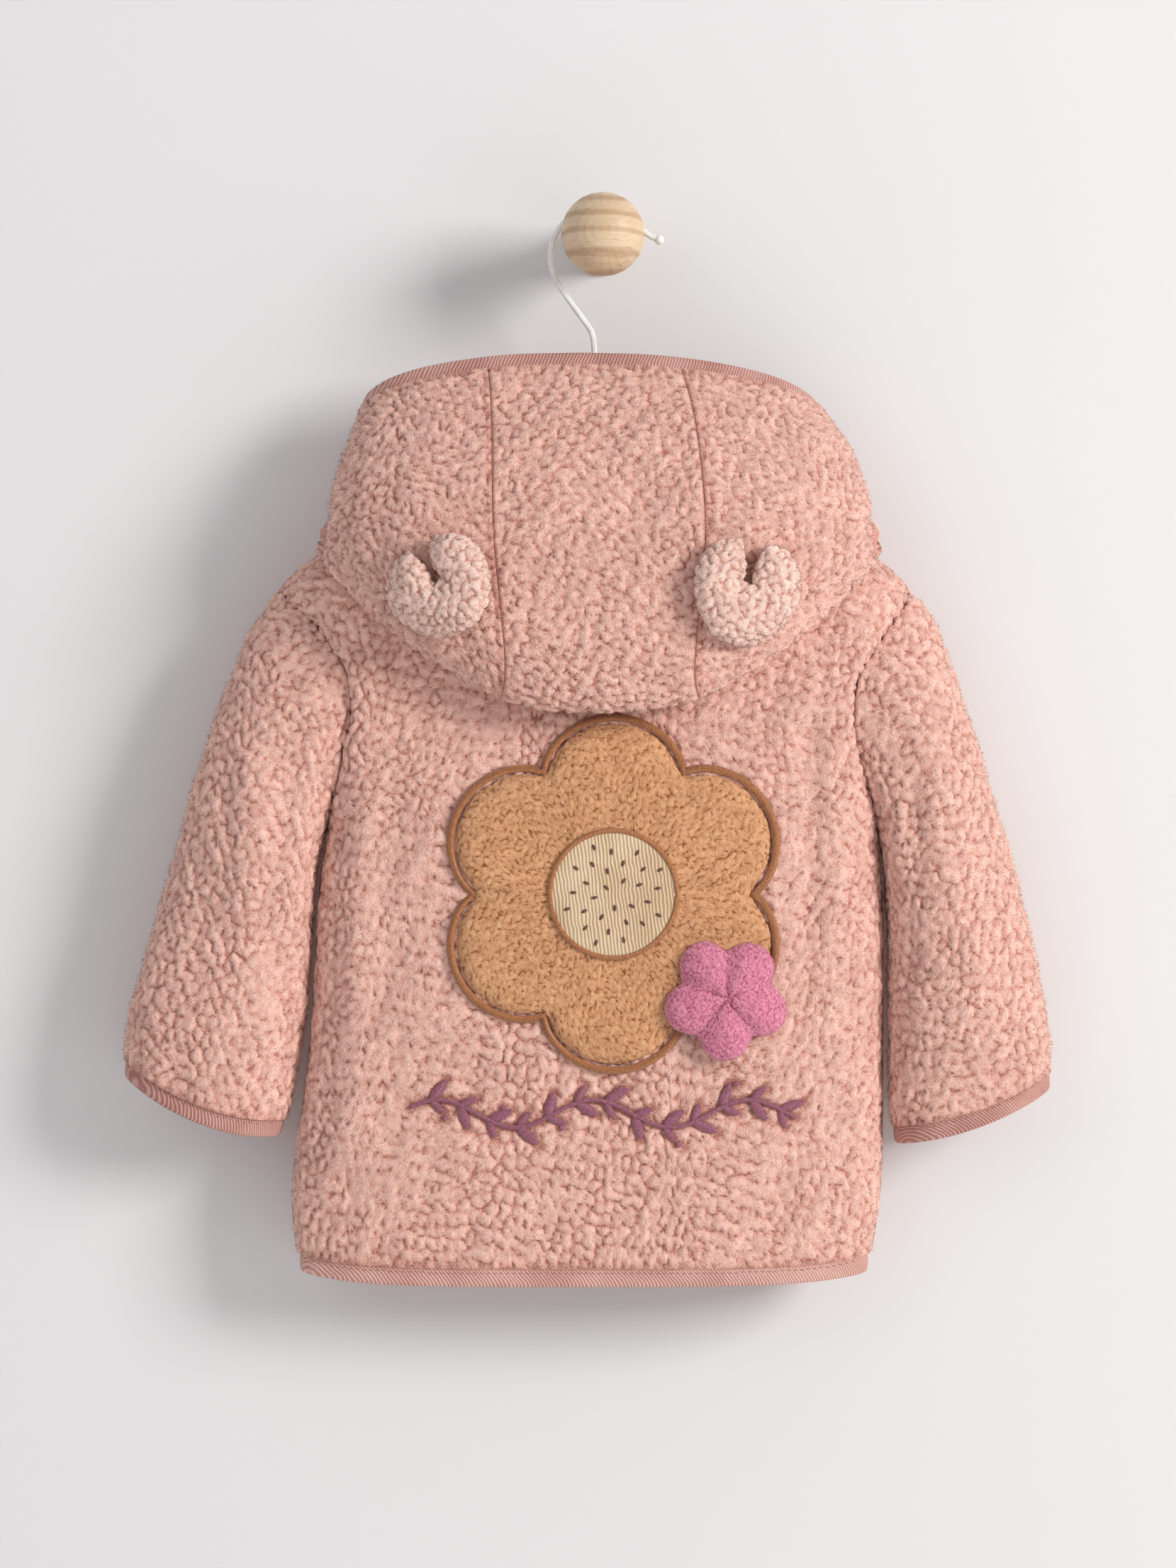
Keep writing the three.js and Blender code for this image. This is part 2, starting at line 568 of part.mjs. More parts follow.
function hood() {
  const neckOuter = neckLine('outer');
  const neckInner = neckLine('inner');
  const ribs = neckOuter.map((p, k) => hoodRib(k, p));
  const outer = times(ribs[0].length, (i) => ribs.map((rib) => rib[i]));
  const inner = inset(outer, gridNormals(outer, false, -1), FLEECE_WALL);
  const last = inner.length - 1;
  inner[last] = neckInner;
  inner[last - 1] = neckInner.map((p, j) => {
    const step = p.clone().sub(neckOuter[j]).normalize();
    const turned = Math.abs(j - HOOD_LAST) > TURN_COLUMN ? 0 : 1;
    return outer[last - 1][j].clone().add(step.setZ(step.z + turned).setLength(FLEECE_WALL));
  });
  return { outer, inner };
}

const hoodGrid = hood();

// A stretch of the hood between two of its columns, drawn back from each seam by half the gap.
function hoodPart(name, from, to) {
  const trim = (grid) =>
    grid.map((row) => {
      const part = row.slice(from, to + 1).map((p) => p.clone());
      const last = part.length - 1;
      if (from > 0) {
        part[0].addScaledVector(part[1].clone().sub(part[0]).normalize(), SEAM_GAP / 2);
      }
      if (to < row.length - 1) {
        part[last].addScaledVector(part[last - 1].clone().sub(part[last]).normalize(), SEAM_GAP / 2);
      }
      return part;
    });
  return add(name, wall(trim(hoodGrid.outer), trim(hoodGrid.inner)), FINISH.fleece);
}

const leftSeam = HOOD_LAST - HOOD_SEAM;
const rightSeam = HOOD_LAST + HOOD_SEAM;
const hoodMeshes = [
  hoodPart('hood_left', 0, leftSeam),
  hoodPart('hood_centre', leftSeam, rightSeam),
  hoodPart('hood_right', rightSeam, 2 * HOOD_LAST),
];

// Binding on a cloth edge: a flat rounded bar that goes on from the wall's edge.
function binding(name, edge, closedPath = false) {
  const half = BINDING_THICKNESS / 2;
  const profile = [
    [0, -0.75], [1.4, -1], [BINDING_HEIGHT - 1.6, -1], [BINDING_HEIGHT, -0.5],
    [BINDING_HEIGHT, 0.5], [BINDING_HEIGHT - 1.6, 1], [1.4, 1], [0, 0.75],
  ];
  const sections = edge.map(({ outer, inner, before }) => {
    const middle = midway(outer, inner);
    const thick = outer.clone().sub(inner).normalize();
    const away = middle.clone().sub(before);
    away.addScaledVector(thick, -away.dot(thick)).normalize();
    return profile.map(([out, side]) =>
      middle.clone().addScaledVector(away, SEAM_GAP + out).addScaledVector(thick, half * side),
    );
  });
  add(name, loft(sections, { closedPath }), FINISH.binding);
}

// The edge of a grid as binding stations: its row, and the row before it.
const edgeOf = (grid, row, before) =>
  grid.outer[row].map((p, j) => ({
    outer: p,
    inner: grid.inner[row][j],
    before: midway(grid.outer[before][j], grid.inner[before][j]),
  }));

const hemJoint = (a, b) => ({
  outer: midway(a.outer, b.outer),
  inner: midway(a.inner, b.inner),
  before: midway(a.before, b.before),
});
const hemLeft = edgeOf(frontLeft, 0, 1);
const hemBack = edgeOf(back, 0, 1);
const hemRight = edgeOf(frontRight, 0, 1);
binding('hem_binding', [
  ...hemLeft.slice(0, -1),
  hemJoint(lastOf(hemLeft), hemBack[0]),
  ...hemBack.slice(1, -1),
  hemJoint(lastOf(hemBack), hemRight[0]),
  ...hemRight.slice(1),
]);
binding('hood_binding', edgeOf(hoodGrid, 0, 1));
binding('cuff_binding_left', edgeOf(sleeveLeft, SLEEVE_ROWS - 1, SLEEVE_ROWS - 2), true);
binding('cuff_binding_right', edgeOf(sleeveRight, SLEEVE_ROWS - 1, SLEEVE_ROWS - 2), true);

// The outside of the jacket's back at a place, found by looking along +Y at a mesh.
function outsideY(meshes, x, z) {
  for (const aside of [0, 0.6, -0.6]) {
    const ray = new THREE.Raycaster(point(x + aside, -300, z), point(0, 1, 0));
    const [hit] = ray.intersectObjects(meshes);
    if (hit) return hit.point.y;
  }
  return MID_Y;
}

// An ear: a cup folded in two, open at the top, as a roll that runs round a narrow slot.
function ear({ name, x, z, turn, width, height }) {
  const steps = 18;
  const sides = 10;
  const slotTop = 0.1 * height;
  const sections = times(steps + 1, (i) => {
    const swing = lerp(-Math.PI + EAR_OPENING, Math.PI - EAR_OPENING, i / steps);
    const down = Math.cos(swing);
    const across = Math.sin(swing);
    const reach = 1 / Math.hypot(across / (width / 2), down / (down > 0 ? height * 0.6 : height * 0.42));
    const end = Math.min(i, steps - i);
    const swell = end === 0 ? 0.7 : end === 1 ? 0.93 : 1;
    const radial = ((reach - EAR_SLOT) / 2) * swell;
    const middle = (reach + EAR_SLOT) / 2;
    return times(sides, (k) => {
      const angle = (2 * Math.PI * k) / sides;
      const r = middle + radial * Math.cos(angle);
      const lx = across * r;
      const lz = slotTop - down * r;
      const px = x + lx * Math.cos(turn) - lz * Math.sin(turn);
      const pz = z + lx * Math.sin(turn) + lz * Math.cos(turn);
      const lift = (EAR_THICKNESS / 2) * swell * (1 + Math.sin(angle) * 0.96);
      return point(px, outsideY(hoodMeshes, px, pz) - 0.9 - lift, pz);
    });
  });
  add(name, loft(sections), FINISH.ear);
}

EARS.forEach(ear);

// A scalloped disc that lies on the back: rings of points from its middle to its edge.
function scallopRadius({ radius, scallop, petals }, angle, turn = 0) {
  return radius + scallop * (2 * Math.abs(Math.cos((petals * (angle + turn)) / 2)) ** 0.7 - 1);
}

function puff({ x, z }, edgeRadius, shares, sectors, rise, base) {
  const skin = (height) =>
    shares.map((share) =>
      times(sectors, (k) => {
        const angle = (2 * Math.PI * k) / sectors;
        const r = share * edgeRadius(angle);
        const px = x + r * Math.cos(angle);
        const pz = z + r * Math.sin(angle);
        return point(px, outsideY([backMesh], px, pz) - base - height(share, angle), pz);
      }),
    );
  const upper = skin(rise);
  const lower = skin(() => 0);
  const positions = [...upper.flat(), ...lower.flat()].flatMap((p) => p.toArray());
  const count = shares.length * sectors;
  const at = (i, k) => i * sectors + (k % sectors);
  const index = [];
  const quad = (...corners) => addQuad(index, positions, ...corners);
  for (let i = 0; i < shares.length - 1; i++) {
    for (let k = 0; k < sectors; k++) {
      quad(at(i, k), at(i + 1, k), at(i + 1, k + 1), at(i, k + 1));
      quad(count + at(i, k), count + at(i, k + 1), count + at(i + 1, k + 1), count + at(i + 1, k));
    }
  }
  const rim = shares.length - 1;
  for (let k = 0; k < sectors; k++) {
    quad(at(rim, k), count + at(rim, k), count + at(rim, k + 1), at(rim, k + 1));
  }
  [0, count].forEach((start) => {
    for (let k = 1; k < sectors - 1; k++) {
      const fan = start ? [start, start + k + 1, start + k] : [start, start + k, start + k + 1];
      index.push(...fan);
    }
  });
  return faceOut(positions, index);
}

const edgeRise = (share) => Math.sqrt(Math.max(0, 1 - Math.max(0, (share - 0.86) / 0.14) ** 2));
const flowerEdge = (angle) => scallopRadius(FLOWER, angle, Math.PI / 2);
const flowerRise = (share) => lerp(1.6, FLOWER.thickness, edgeRise(share));
add('flower', puff(FLOWER, flowerEdge, [0.2, 0.6, 0.86, 0.95, 1], 48, flowerRise, APPLIQUE_GAP), FINISH.caramel);

// The satin border lies round the flower's edge, on the back.
function flowerBorder() {
  const steps = 96;
  const profile = [[0, 0], [0, 0.6], [0.25, 1], [0.75, 1], [1, 0.6], [1, 0]];
  const sections = times(steps, (k) => {
    const angle = (2 * Math.PI * k) / steps;
    return profile.map(([out, up]) => {
      const r = flowerEdge(angle) + 0.7 + out * FLOWER_BORDER.width;
      const px = FLOWER.x + r * Math.cos(angle);
      const pz = FLOWER.z + r * Math.sin(angle);
      return point(px, outsideY([backMesh], px, pz) - APPLIQUE_GAP - up * FLOWER_BORDER.height, pz);
    });
  });
  return loft(sections, { closedPath: true });
}
add('flower_edge', flowerBorder(), FINISH.satin);

const heartBase = FLOWER.thickness + APPLIQUE_GAP + SEAM_GAP;
const heartRise = (share) => lerp(0.5, FLOWER_HEART.thickness, edgeRise(share));
const heartEdge = () => FLOWER_HEART.radius;
add('flower_heart', puff(FLOWER, heartEdge, [0.3, 0.86, 1], 40, heartRise, heartBase), FINISH.cream);

const blossomEdge = (angle) => scallopRadius(BLOSSOM, angle, 0.35);
function blossomRise(share, angle) {
  const crease = 0.35 * (1 - Math.abs(Math.cos((BLOSSOM.petals * (angle + 0.35)) / 2)) ** 0.7);
  return BLOSSOM.thickness * (1 - crease) * Math.sqrt(Math.max(0.05, 1 - Math.abs(share - 0.35) ** 2 * 2.2));
}
add(
  'blossom',
  puff(BLOSSOM, blossomEdge, [0.12, 0.35, 0.6, 0.85, 1], 40, blossomRise, BLOSSOM.lift),
  FINISH.plush,
);

// Zip tapes: strips just inside the front edges, which follow the inside of the wall.
function zipTape(name, grid, side) {
  const pick = (row, k) => (side < 0 ? row[k] : row[row.length - 1 - k]);
  const stations = grid.inner.map((row) => {
    const edge = pick(row, 0);
    const next = pick(row, 1);
    const away = (x) => {
      const t = (side * x - edge.x) / (next.x - edge.x);
      return edge.clone().lerp(next, Math.max(t, 0)).setX(side * x);
    };
    return [TAPE_EDGE_X, FRONT_EDGE_X, TAPE_EDGE_X + TAPE_WIDTH].map(away);
  });
  const lower = stations[0].map((p) => p.clone().setZ(ZIP_END_Z));
  const outer = [lower, ...stations].map((row) => row.map((p) => p.clone().add(point(0, -0.5, 0))));
  const inner = outer.map((row) => row.map((p) => p.clone().add(point(0, -TAPE_THICKNESS, 0))));
  add(name, wall(outer, inner), FINISH.tape);
}
zipTape('zip_tape_left', frontLeft, -1);
zipTape('zip_tape_right', frontRight, 1);

// The slider rides on the tapes' edges; its plates are in front of them and behind them.
function boxAt(width, depth, height, x, y, z) {
  return new THREE.BoxGeometry(width, depth, height).translate(x, y, z);
}

const tapeY = (() => {
  const column = frontLeft.inner.map((row) => row[0]);
  const k = column.findIndex((p) => p.z > SLIDER.z);
  const t = (SLIDER.z - column[k - 1].z) / (column[k].z - column[k - 1].z);
  return lerp(column[k - 1].y, column[k].y, t) - 0.5 - TAPE_THICKNESS / 2;
})();
const plateY = SLIDER.channel / 2 + SLIDER.plate / 2;
const hingeY = tapeY + SLIDER.channel / 2 + SLIDER.plate + SLIDER.bridge / 2;
const hingeZ = SLIDER.z + 2.6;

function slider() {
  const { width, length, plate, channel, bridge } = SLIDER;
  const front = boxAt(width, plate, length, 0, tapeY + plateY, SLIDER.z);
  const behind = boxAt(width, plate, length, 0, tapeY - plateY, SLIDER.z);
  const post = boxAt(1.6, channel + plate, 2.4, 0, tapeY, SLIDER.z + length / 2 - 1.3);
  const foot = (z) => boxAt(1.4, bridge + 0.8, 1.4, 0, tapeY + plateY + bridge / 2 + 0.5, z);
  const roof = boxAt(1.4, 1.1, 9.2, 0, tapeY + plateY + plate / 2 + bridge + 0.5, SLIDER.z + 1.2);
  return join(front, behind, post, foot(SLIDER.z - 2.7), foot(SLIDER.z + 5.1), roof);
}
add('zip_slider', slider(), FINISH.metal);

// The pull tab: a flat tongue with an eye at its top, whose cross-bar lies under the bridge.
function pullTab() {
  const { length, width, thickness, bar, eye } = PULL;
  const outline = new THREE.Shape();
  outline.moveTo(-width / 2, bar);
  outline.lineTo(width / 2, bar);
  outline.lineTo(width / 2, -length + 2);
  outline.quadraticCurveTo(width / 2, -length, 0, -length);
  outline.quadraticCurveTo(-width / 2, -length, -width / 2, -length + 2);
  const hole = new THREE.Path();
  hole.moveTo(-eye, -bar);
  hole.lineTo(-eye, -bar - 6.8);
  hole.lineTo(eye, -bar - 6.8);
  hole.lineTo(eye, -bar);
  outline.holes.push(hole);
  const tab = new THREE.ExtrudeGeometry(outline, { depth: thickness, bevelEnabled: false, curveSegments: 6 });
  tab.rotateX(Math.PI / 2).translate(0, thickness / 2, 0);
  return tab.translate(0, hingeY, hingeZ);
}
add('zip_pull', pullTab(), FINISH.metal);

// A straight or bent rod through points, with flat ends.
function rod(points, radius, sides, steps) {
  const shape = new THREE.Shape();
  times(sides, (k) => {
    const angle = (2 * Math.PI * (k + 0.5)) / sides;
    const corner = [radius * Math.cos(angle), radius * Math.sin(angle)];
    return k ? shape.lineTo(...corner) : shape.moveTo(...corner);
  });
  const path = new THREE.CatmullRomCurve3(points, false, 'centripetal');
  return new THREE.ExtrudeGeometry(shape, { steps, extrudePath: path, bevelEnabled: false });
}

// The hanger: a bent wire frame inside the shoulders, and the hook that comes up out of the neck.
function hanger() {
  const seat = FLEECE_WALL * 1.5 + SEAM_GAP + FRAME_WIRE_RADIUS;
  const centreX = bodyCentre(0);
  const armZ = (x) => {
    const out = (Math.abs(x) / bodyHalf(0) - NECK_SHARE) / (1 - NECK_SHARE);
    return NECK_SIDE_Z - SHOULDER_FALL * out - seat;
  };
  const corner = (side) => {
    const x = side * FRAME_HALF;
    return [
      point(centreX + x * 0.55, HANGER_Y, armZ(x * 0.55)),
      point(centreX + x * 0.93, HANGER_Y, armZ(x * 0.93)),
      point(centreX + x, HANGER_Y, armZ(x) - 4),
      point(centreX + x * 0.97, HANGER_Y, FRAME_BAR_Z + 4),
      point(centreX + x * 0.9, HANGER_Y, FRAME_BAR_Z),
      point(centreX + x * 0.5, HANGER_Y, FRAME_BAR_Z),
    ];
  };
  const top = point(centreX, HANGER_Y, armZ(0) + 1);
  const loop = new THREE.CatmullRomCurve3(
    [top, ...corner(1), ...corner(-1).reverse()],
    true,
    'centripetal',
  );
  const frame = new THREE.TubeGeometry(loop, 56, FRAME_WIRE_RADIUS, 7, true);
  const hook = rod(HOOK.map(([x, z]) => point(x, HANGER_Y, z)), WIRE_RADIUS, 8, 44);
  const [tipX, tipZ] = lastOf(HOOK);
  const tip = new THREE.SphereGeometry(HOOK_TIP_RADIUS, 12, 8).translate(tipX, HANGER_Y, tipZ);
  const twist = new THREE.CylinderGeometry(3.1, 3.1, 12, 12).rotateX(Math.PI / 2);
  twist.translate((centreX + HOOK[0][0]) / 2, HANGER_Y, armZ(0) + 3);
  return join(frame, hook, tip, twist);
}
add('hanger', hanger(), FINISH.white);

// The wooden peg: a ball on a stem with a flat back.
function peg() {
  const reach = Math.sqrt(PEG.ball ** 2 - PEG.stem ** 2);
  const start = Math.asin(PEG.stem / PEG.ball);
  const profile = [new THREE.Vector2(0, 0), new THREE.Vector2(PEG.root, 0)];
  profile.push(new THREE.Vector2(PEG.root, 2.5), new THREE.Vector2(PEG.stem + 0.4, 5));
  profile.push(new THREE.Vector2(PEG.stem, 8), new THREE.Vector2(PEG.stem, -PEG.ballY - reach));
  times(12, (i) => {
    const angle = lerp(start, Math.PI, (i + 1) / 12);
    const r = i === 11 ? 0 : PEG.ball * Math.sin(angle);
    profile.push(new THREE.Vector2(r, -PEG.ballY - PEG.ball * Math.cos(angle)));
  });
  return new THREE.LatheGeometry(profile, 24).rotateX(Math.PI);
}
add('peg', peg(), FINISH.wood);

export default jacket;
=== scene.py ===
import math

import bpy
import numpy as np
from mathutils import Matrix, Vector
from mathutils.bvhtree import BVHTree
from mathutils.kdtree import KDTree


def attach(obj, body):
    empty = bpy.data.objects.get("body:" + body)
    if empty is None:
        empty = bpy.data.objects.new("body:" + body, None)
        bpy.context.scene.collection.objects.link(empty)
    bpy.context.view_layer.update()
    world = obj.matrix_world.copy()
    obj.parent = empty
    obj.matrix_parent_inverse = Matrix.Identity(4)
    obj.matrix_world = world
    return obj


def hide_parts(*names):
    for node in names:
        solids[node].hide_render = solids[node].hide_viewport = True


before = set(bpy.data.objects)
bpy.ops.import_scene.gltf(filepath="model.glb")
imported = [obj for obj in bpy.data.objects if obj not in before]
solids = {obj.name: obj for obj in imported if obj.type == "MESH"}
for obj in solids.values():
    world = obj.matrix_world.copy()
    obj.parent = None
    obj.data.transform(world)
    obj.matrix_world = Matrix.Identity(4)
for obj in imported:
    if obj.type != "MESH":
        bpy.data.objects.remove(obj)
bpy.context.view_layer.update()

MM = 0.001
MIDDLE_Y = -0.035  # between the jacket's back and its fronts


def only(*objects):
    """Selects these objects and nothing else."""
    bpy.ops.object.select_all(action="DESELECT")
    for thing in objects:
        thing.select_set(True)
    bpy.context.view_layer.objects.active = objects[0]


def read(items, label, kind=float, width=1):
    """One number, or one row of numbers, for each point, edge, face or corner."""
    flat = np.empty(len(items) * width, kind)
    items.foreach_get(label, flat)
    return flat.reshape(-1, width) if width > 1 else flat


def points_of(thing):
    return read(thing.data.vertices, "co", width=3)


def normals_of(thing):
    return read(thing.data.vertices, "normal", width=3)


def move_points(thing, points):
    thing.data.vertices.foreach_set("co", points.ravel())
    thing.data.update()


def mark(thing, name, values):
    """Keeps one number for each point of a mesh."""
    attribute = thing.data.attributes.new(name, "FLOAT", "POINT")
    attribute.data.foreach_set("value", np.asarray(values, np.float32))


def shade_softly(thing):
    thing.data.polygons.foreach_set("use_smooth", np.ones(len(thing.data.polygons), bool))


def mesh_piece(name, points, faces):
    mesh = bpy.data.meshes.new(name)
    mesh.from_pydata(points, [], faces)
    mesh.update()
    thing = bpy.data.objects.new(name, mesh)
    bpy.context.scene.collection.objects.link(thing)
    return thing


# ---------------------------------------------------------------- shader parts


class Shader:
    """Puts nodes in a material or group and joins them."""

    def __init__(self, tree):
        self.tree = tree

    def node(self, kind, inputs=None, **settings):
        made = self.tree.nodes.new(kind)
        for key, value in settings.items():
            setattr(made, key, value)
        for key, value in (inputs or {}).items():
            if isinstance(value, bpy.types.NodeSocket):
                self.tree.links.new(value, made.inputs[key])
            else:
                made.inputs[key].default_value = value
        return made

    def maths(self, operation, a, b=0.0, clamp=False):
        made = self.node("ShaderNodeMath", {0: a, 1: b}, operation=operation, use_clamp=clamp)
        return made.outputs[0]

    def mix(self, factor, a, b, blend="MIX"):
        made = self.node("ShaderNodeMix", data_type="RGBA", blend_type=blend)
        for socket, value in ((made.inputs[0], factor), (made.inputs[6], a), (made.inputs[7], b)):
            if isinstance(value, bpy.types.NodeSocket):
                self.tree.links.new(value, socket)
            else:
                socket.default_value = value
        return made.outputs[2]

    def spread(self, value, low, high, to_low=0.0, to_high=1.0):
        made = self.node("ShaderNodeMapRange", {0: value, 1: low, 2: high, 3: to_low, 4: to_high})
        return made.outputs[0]

    def noise(self, place, scale, **more):
        return self.node("ShaderNodeTexNoise", {"Vector": place, "Scale": scale, **more}).outputs["Fac"]


def rgb(red, green, blue):
    """A colour given in screen values from 0 to 255."""
    linear = []
    for value in (red, green, blue):
        value /= 255
        linear.append(value / 12.92 if value <= 0.04045 else ((value + 0.055) / 1.055) ** 2.4)
    return (*linear, 1.0)


def new_group(name, inputs, outputs):
    tree = bpy.data.node_groups.new(name, "ShaderNodeTree")
    for label, kind, value in inputs:
        socket = tree.interface.new_socket(label, in_out="INPUT", socket_type=kind)
        if value is not None:
            socket.default_value = value
    for label, kind in outputs:
        tree.interface.new_socket(label, in_out="OUTPUT", socket_type=kind)
    shader = Shader(tree)
    return tree, shader, shader.node("NodeGroupInput"), shader.node("NodeGroupOutput")


def pile_group():
    """Colour and fine relief of curled pile: painted shade between the tufts, painted light on their tips."""
    tree, shader, given, out = new_group(
        "curled pile",
        [
            ("Vector", "NodeSocketVector", None),
            ("Pile", "NodeSocketFloat", 0.5),
            ("Shade", "NodeSocketFloat", 0.5),
            ("Tip", "NodeSocketColor", (1, 1, 1, 1)),
            ("Middle", "NodeSocketColor", (1, 1, 1, 1)),
            ("Shaded root", "NodeSocketColor", (1, 1, 1, 1)),
        ],
        [("Colour", "NodeSocketColor"), ("Height", "NodeSocketFloat")],
    )
    curl = shader.noise(given.outputs["Vector"], 560.0, Detail=4.5, Distortion=1.4)
    patch = shader.noise(given.outputs["Vector"], 28.0, Detail=2.0)
    # Low pile takes the root colour, painted shade in the clefts; high pile takes the tip colour, painted light.
    lift = shader.maths("ADD", given.outputs["Pile"], shader.spread(curl, 0.3, 0.7, -0.3, 0.3), clamp=True)
    low = shader.mix(shader.spread(lift, 0.0, 0.42), given.outputs["Shaded root"], given.outputs["Middle"])
    colour = shader.mix(shader.spread(lift, 0.35, 1.0), low, given.outputs["Tip"])
    value = shader.maths(
        "MULTIPLY",
        shader.spread(given.outputs["Shade"], 0.0, 1.0, 0.93, 1.05),
        shader.spread(patch, 0.3, 0.7, 0.95, 1.04),
    )
    toned = shader.node("ShaderNodeHueSaturation", {"Color": colour, "Value": value}).outputs[0]
    shader.tree.links.new(toned, out.inputs["Colour"])
    shader.tree.links.new(curl, out.inputs["Height"])
    return tree


def thread_group():
    """Threads laid side by side along a direction, painted light on their ridges and painted shade between them,
    with a slow change of tone.
    """
    tree, shader, given, out = new_group(
        "laid threads",
        [
            ("Vector", "NodeSocketVector", None),
            ("Across", "NodeSocketVector", (1.0, 0.0, 0.0)),
            ("Pitch", "NodeSocketFloat", 0.0013),
            ("Light", "NodeSocketColor", (1, 1, 1, 1)),
            ("Shaded groove", "NodeSocketColor", (1, 1, 1, 1)),
        ],
        [("Colour", "NodeSocketColor"), ("Height", "NodeSocketFloat")],
    )
    along = shader.node(
        "ShaderNodeVectorMath",
        {0: given.outputs["Vector"], 1: given.outputs["Across"]},
        operation="DOT_PRODUCT",
    ).outputs["Value"]
    wander = shader.noise(given.outputs["Vector"], 160.0, Detail=1.0)
    place = shader.maths("ADD", shader.maths("DIVIDE", along, given.outputs["Pitch"]), wander)
    wave = shader.maths("SINE", shader.maths("MULTIPLY", place, 2 * math.pi))
    ridge = shader.spread(wave, -1.0, 1.0)
    fibre = shader.noise(given.outputs["Vector"], 1800.0, Detail=2.0)
    height = shader.maths("ADD", ridge, shader.maths("MULTIPLY", fibre, 0.35))
    worn = shader.noise(given.outputs["Vector"], 45.0, Detail=3.0)
    tone = shader.maths("ADD", ridge, shader.spread(worn, 0.3, 0.7, -0.35, 0.35), clamp=True)
    shader.tree.links.new(shader.mix(tone, given.outputs["Shaded groove"], given.outputs["Light"]), out.inputs["Colour"])
    shader.tree.links.new(height, out.inputs["Height"])
    return tree


PILE = pile_group()
THREADS = thread_group()


def material(name, roughness, **plain):
    """A material with its Principled shader, whose plain values are set on its own sockets."""
    made = bpy.data.materials.new(name)
    made.use_nodes = True
    surface = made.node_tree.nodes["Principled BSDF"]
    surface.inputs["Roughness"].default_value = roughness
    for label, value in plain.items():
        surface.inputs[label.replace("_", " ")].default_value = value
    shader = Shader(made.node_tree)
    place = shader.node("ShaderNodeTexCoord").outputs["Object"]
    return made, shader, surface, place


def bump(shader, surface, height, strength, distance):
    relief = shader.node("ShaderNodeBump", {"Height": height, "Strength": strength, "Distance": distance})
    shader.tree.links.new(relief.outputs[0], surface.inputs["Normal"])


def pile_material(name, tip, middle, root, sheen, sheen_tint):
    made, shader, surface, place = material(
        name, 0.94, Sheen_Weight=sheen, Sheen_Roughness=0.55, Sheen_Tint=sheen_tint, Specular_IOR_Level=0.12
    )
    pile = shader.node("ShaderNodeAttribute", attribute_name="pile").outputs["Fac"]
    shade = shader.node("ShaderNodeAttribute", attribute_name="shade").outputs["Fac"]
    group = shader.node(
        "ShaderNodeGroup",
        {"Vector": place, "Pile": pile, "Shade": shade, "Tip": tip, "Middle": middle, "Shaded root": root},
        node_tree=PILE,
    )
    shader.tree.links.new(group.outputs["Colour"], surface.inputs["Base Color"])
    bump(shader, surface, group.outputs["Height"], 0.75, 0.0012)
    return made


def thread_material(name, light, groove_shade, across, pitch, roughness, depth, sheen):
    made, shader, surface, place = material(name, roughness, Sheen_Weight=sheen, Specular_IOR_Level=0.3)
    group = shader.node(
        "ShaderNodeGroup",
        {"Vector": place, "Across": across, "Pitch": pitch, "Light": light, "Shaded groove": groove_shade},
        node_tree=THREADS,
    )
    shader.tree.links.new(group.outputs["Colour"], surface.inputs["Base Color"])
    bump(shader, surface, group.outputs["Height"], 0.8, depth)
    return made


def along_material(name, light, groove_shade, roughness, sheen):
    """Thread whose stripes follow the stitch, painted light on the twist's ridges and painted shade in its grooves:
    its mesh carries the place along each thread.
    """
    made, shader, surface, place = material(name, roughness, Sheen_Weight=sheen, Specular_IOR_Level=0.4)
    strand = shader.node("ShaderNodeAttribute", attribute_name="strand").outputs["Fac"]
    stripe = shader.spread(shader.maths("SINE", shader.maths("MULTIPLY", strand, 2 * math.pi)), -1.0, 1.0)
    fleck = shader.noise(place, 900.0)
    tone = shader.maths("ADD", stripe, shader.spread(fleck, 0.3, 0.7, -0.3, 0.3), clamp=True)
    shader.tree.links.new(shader.mix(tone, groove_shade, light), surface.inputs["Base Color"])
    bump(shader, surface, stripe, 0.6, 0.0003)
    return made


# ---------------------------------------------------------------- finishes

# Each pile finish: a tip colour with painted light, a middle colour, a root colour with painted shade for the
# clefts, then its sheen and the sheen's tint.
fleece = pile_material(
    "rose fleece", rgb(242, 196, 181), rgb(224, 167, 151), rgb(180, 115, 102), 0.6, rgb(255, 225, 215)
)
ear_fleece = pile_material(
    "pale fleece", rgb(250, 216, 203), rgb(238, 192, 176), rgb(194, 134, 118), 0.5, rgb(255, 230, 220)
)
caramel = pile_material(
    "caramel fleece", rgb(226, 172, 130), rgb(202, 142, 100), rgb(134, 80, 46), 0.4, rgb(255, 225, 190)
)
plush = pile_material(
    "pink plush", rgb(234, 152, 174), rgb(212, 120, 146), rgb(164, 74, 104), 0.6, rgb(255, 205, 225)
)


def knit_material():
    """The fleece's inside: a fine knitted ground with short brushed fibres, and painted shade between its loops."""
    made, shader, surface, place = material("knitted ground", 0.9, Sheen_Weight=0.2, Specular_IOR_Level=0.15)
    loops = shader.node("ShaderNodeTexVoronoi", {"Vector": place, "Scale": 620.0}).outputs["Distance"]
    patch = shader.noise(place, 60.0, Detail=3.0)
    tone = shader.maths("ADD", loops, shader.spread(patch, 0.3, 0.7, -0.3, 0.2), clamp=True)
    shader.tree.links.new(shader.mix(tone, rgb(226, 172, 158), rgb(184, 124, 112)), surface.inputs["Base Color"])
    bump(shader, surface, shader.maths("SUBTRACT", 1.0, loops), 0.5, 0.0004)
    return made


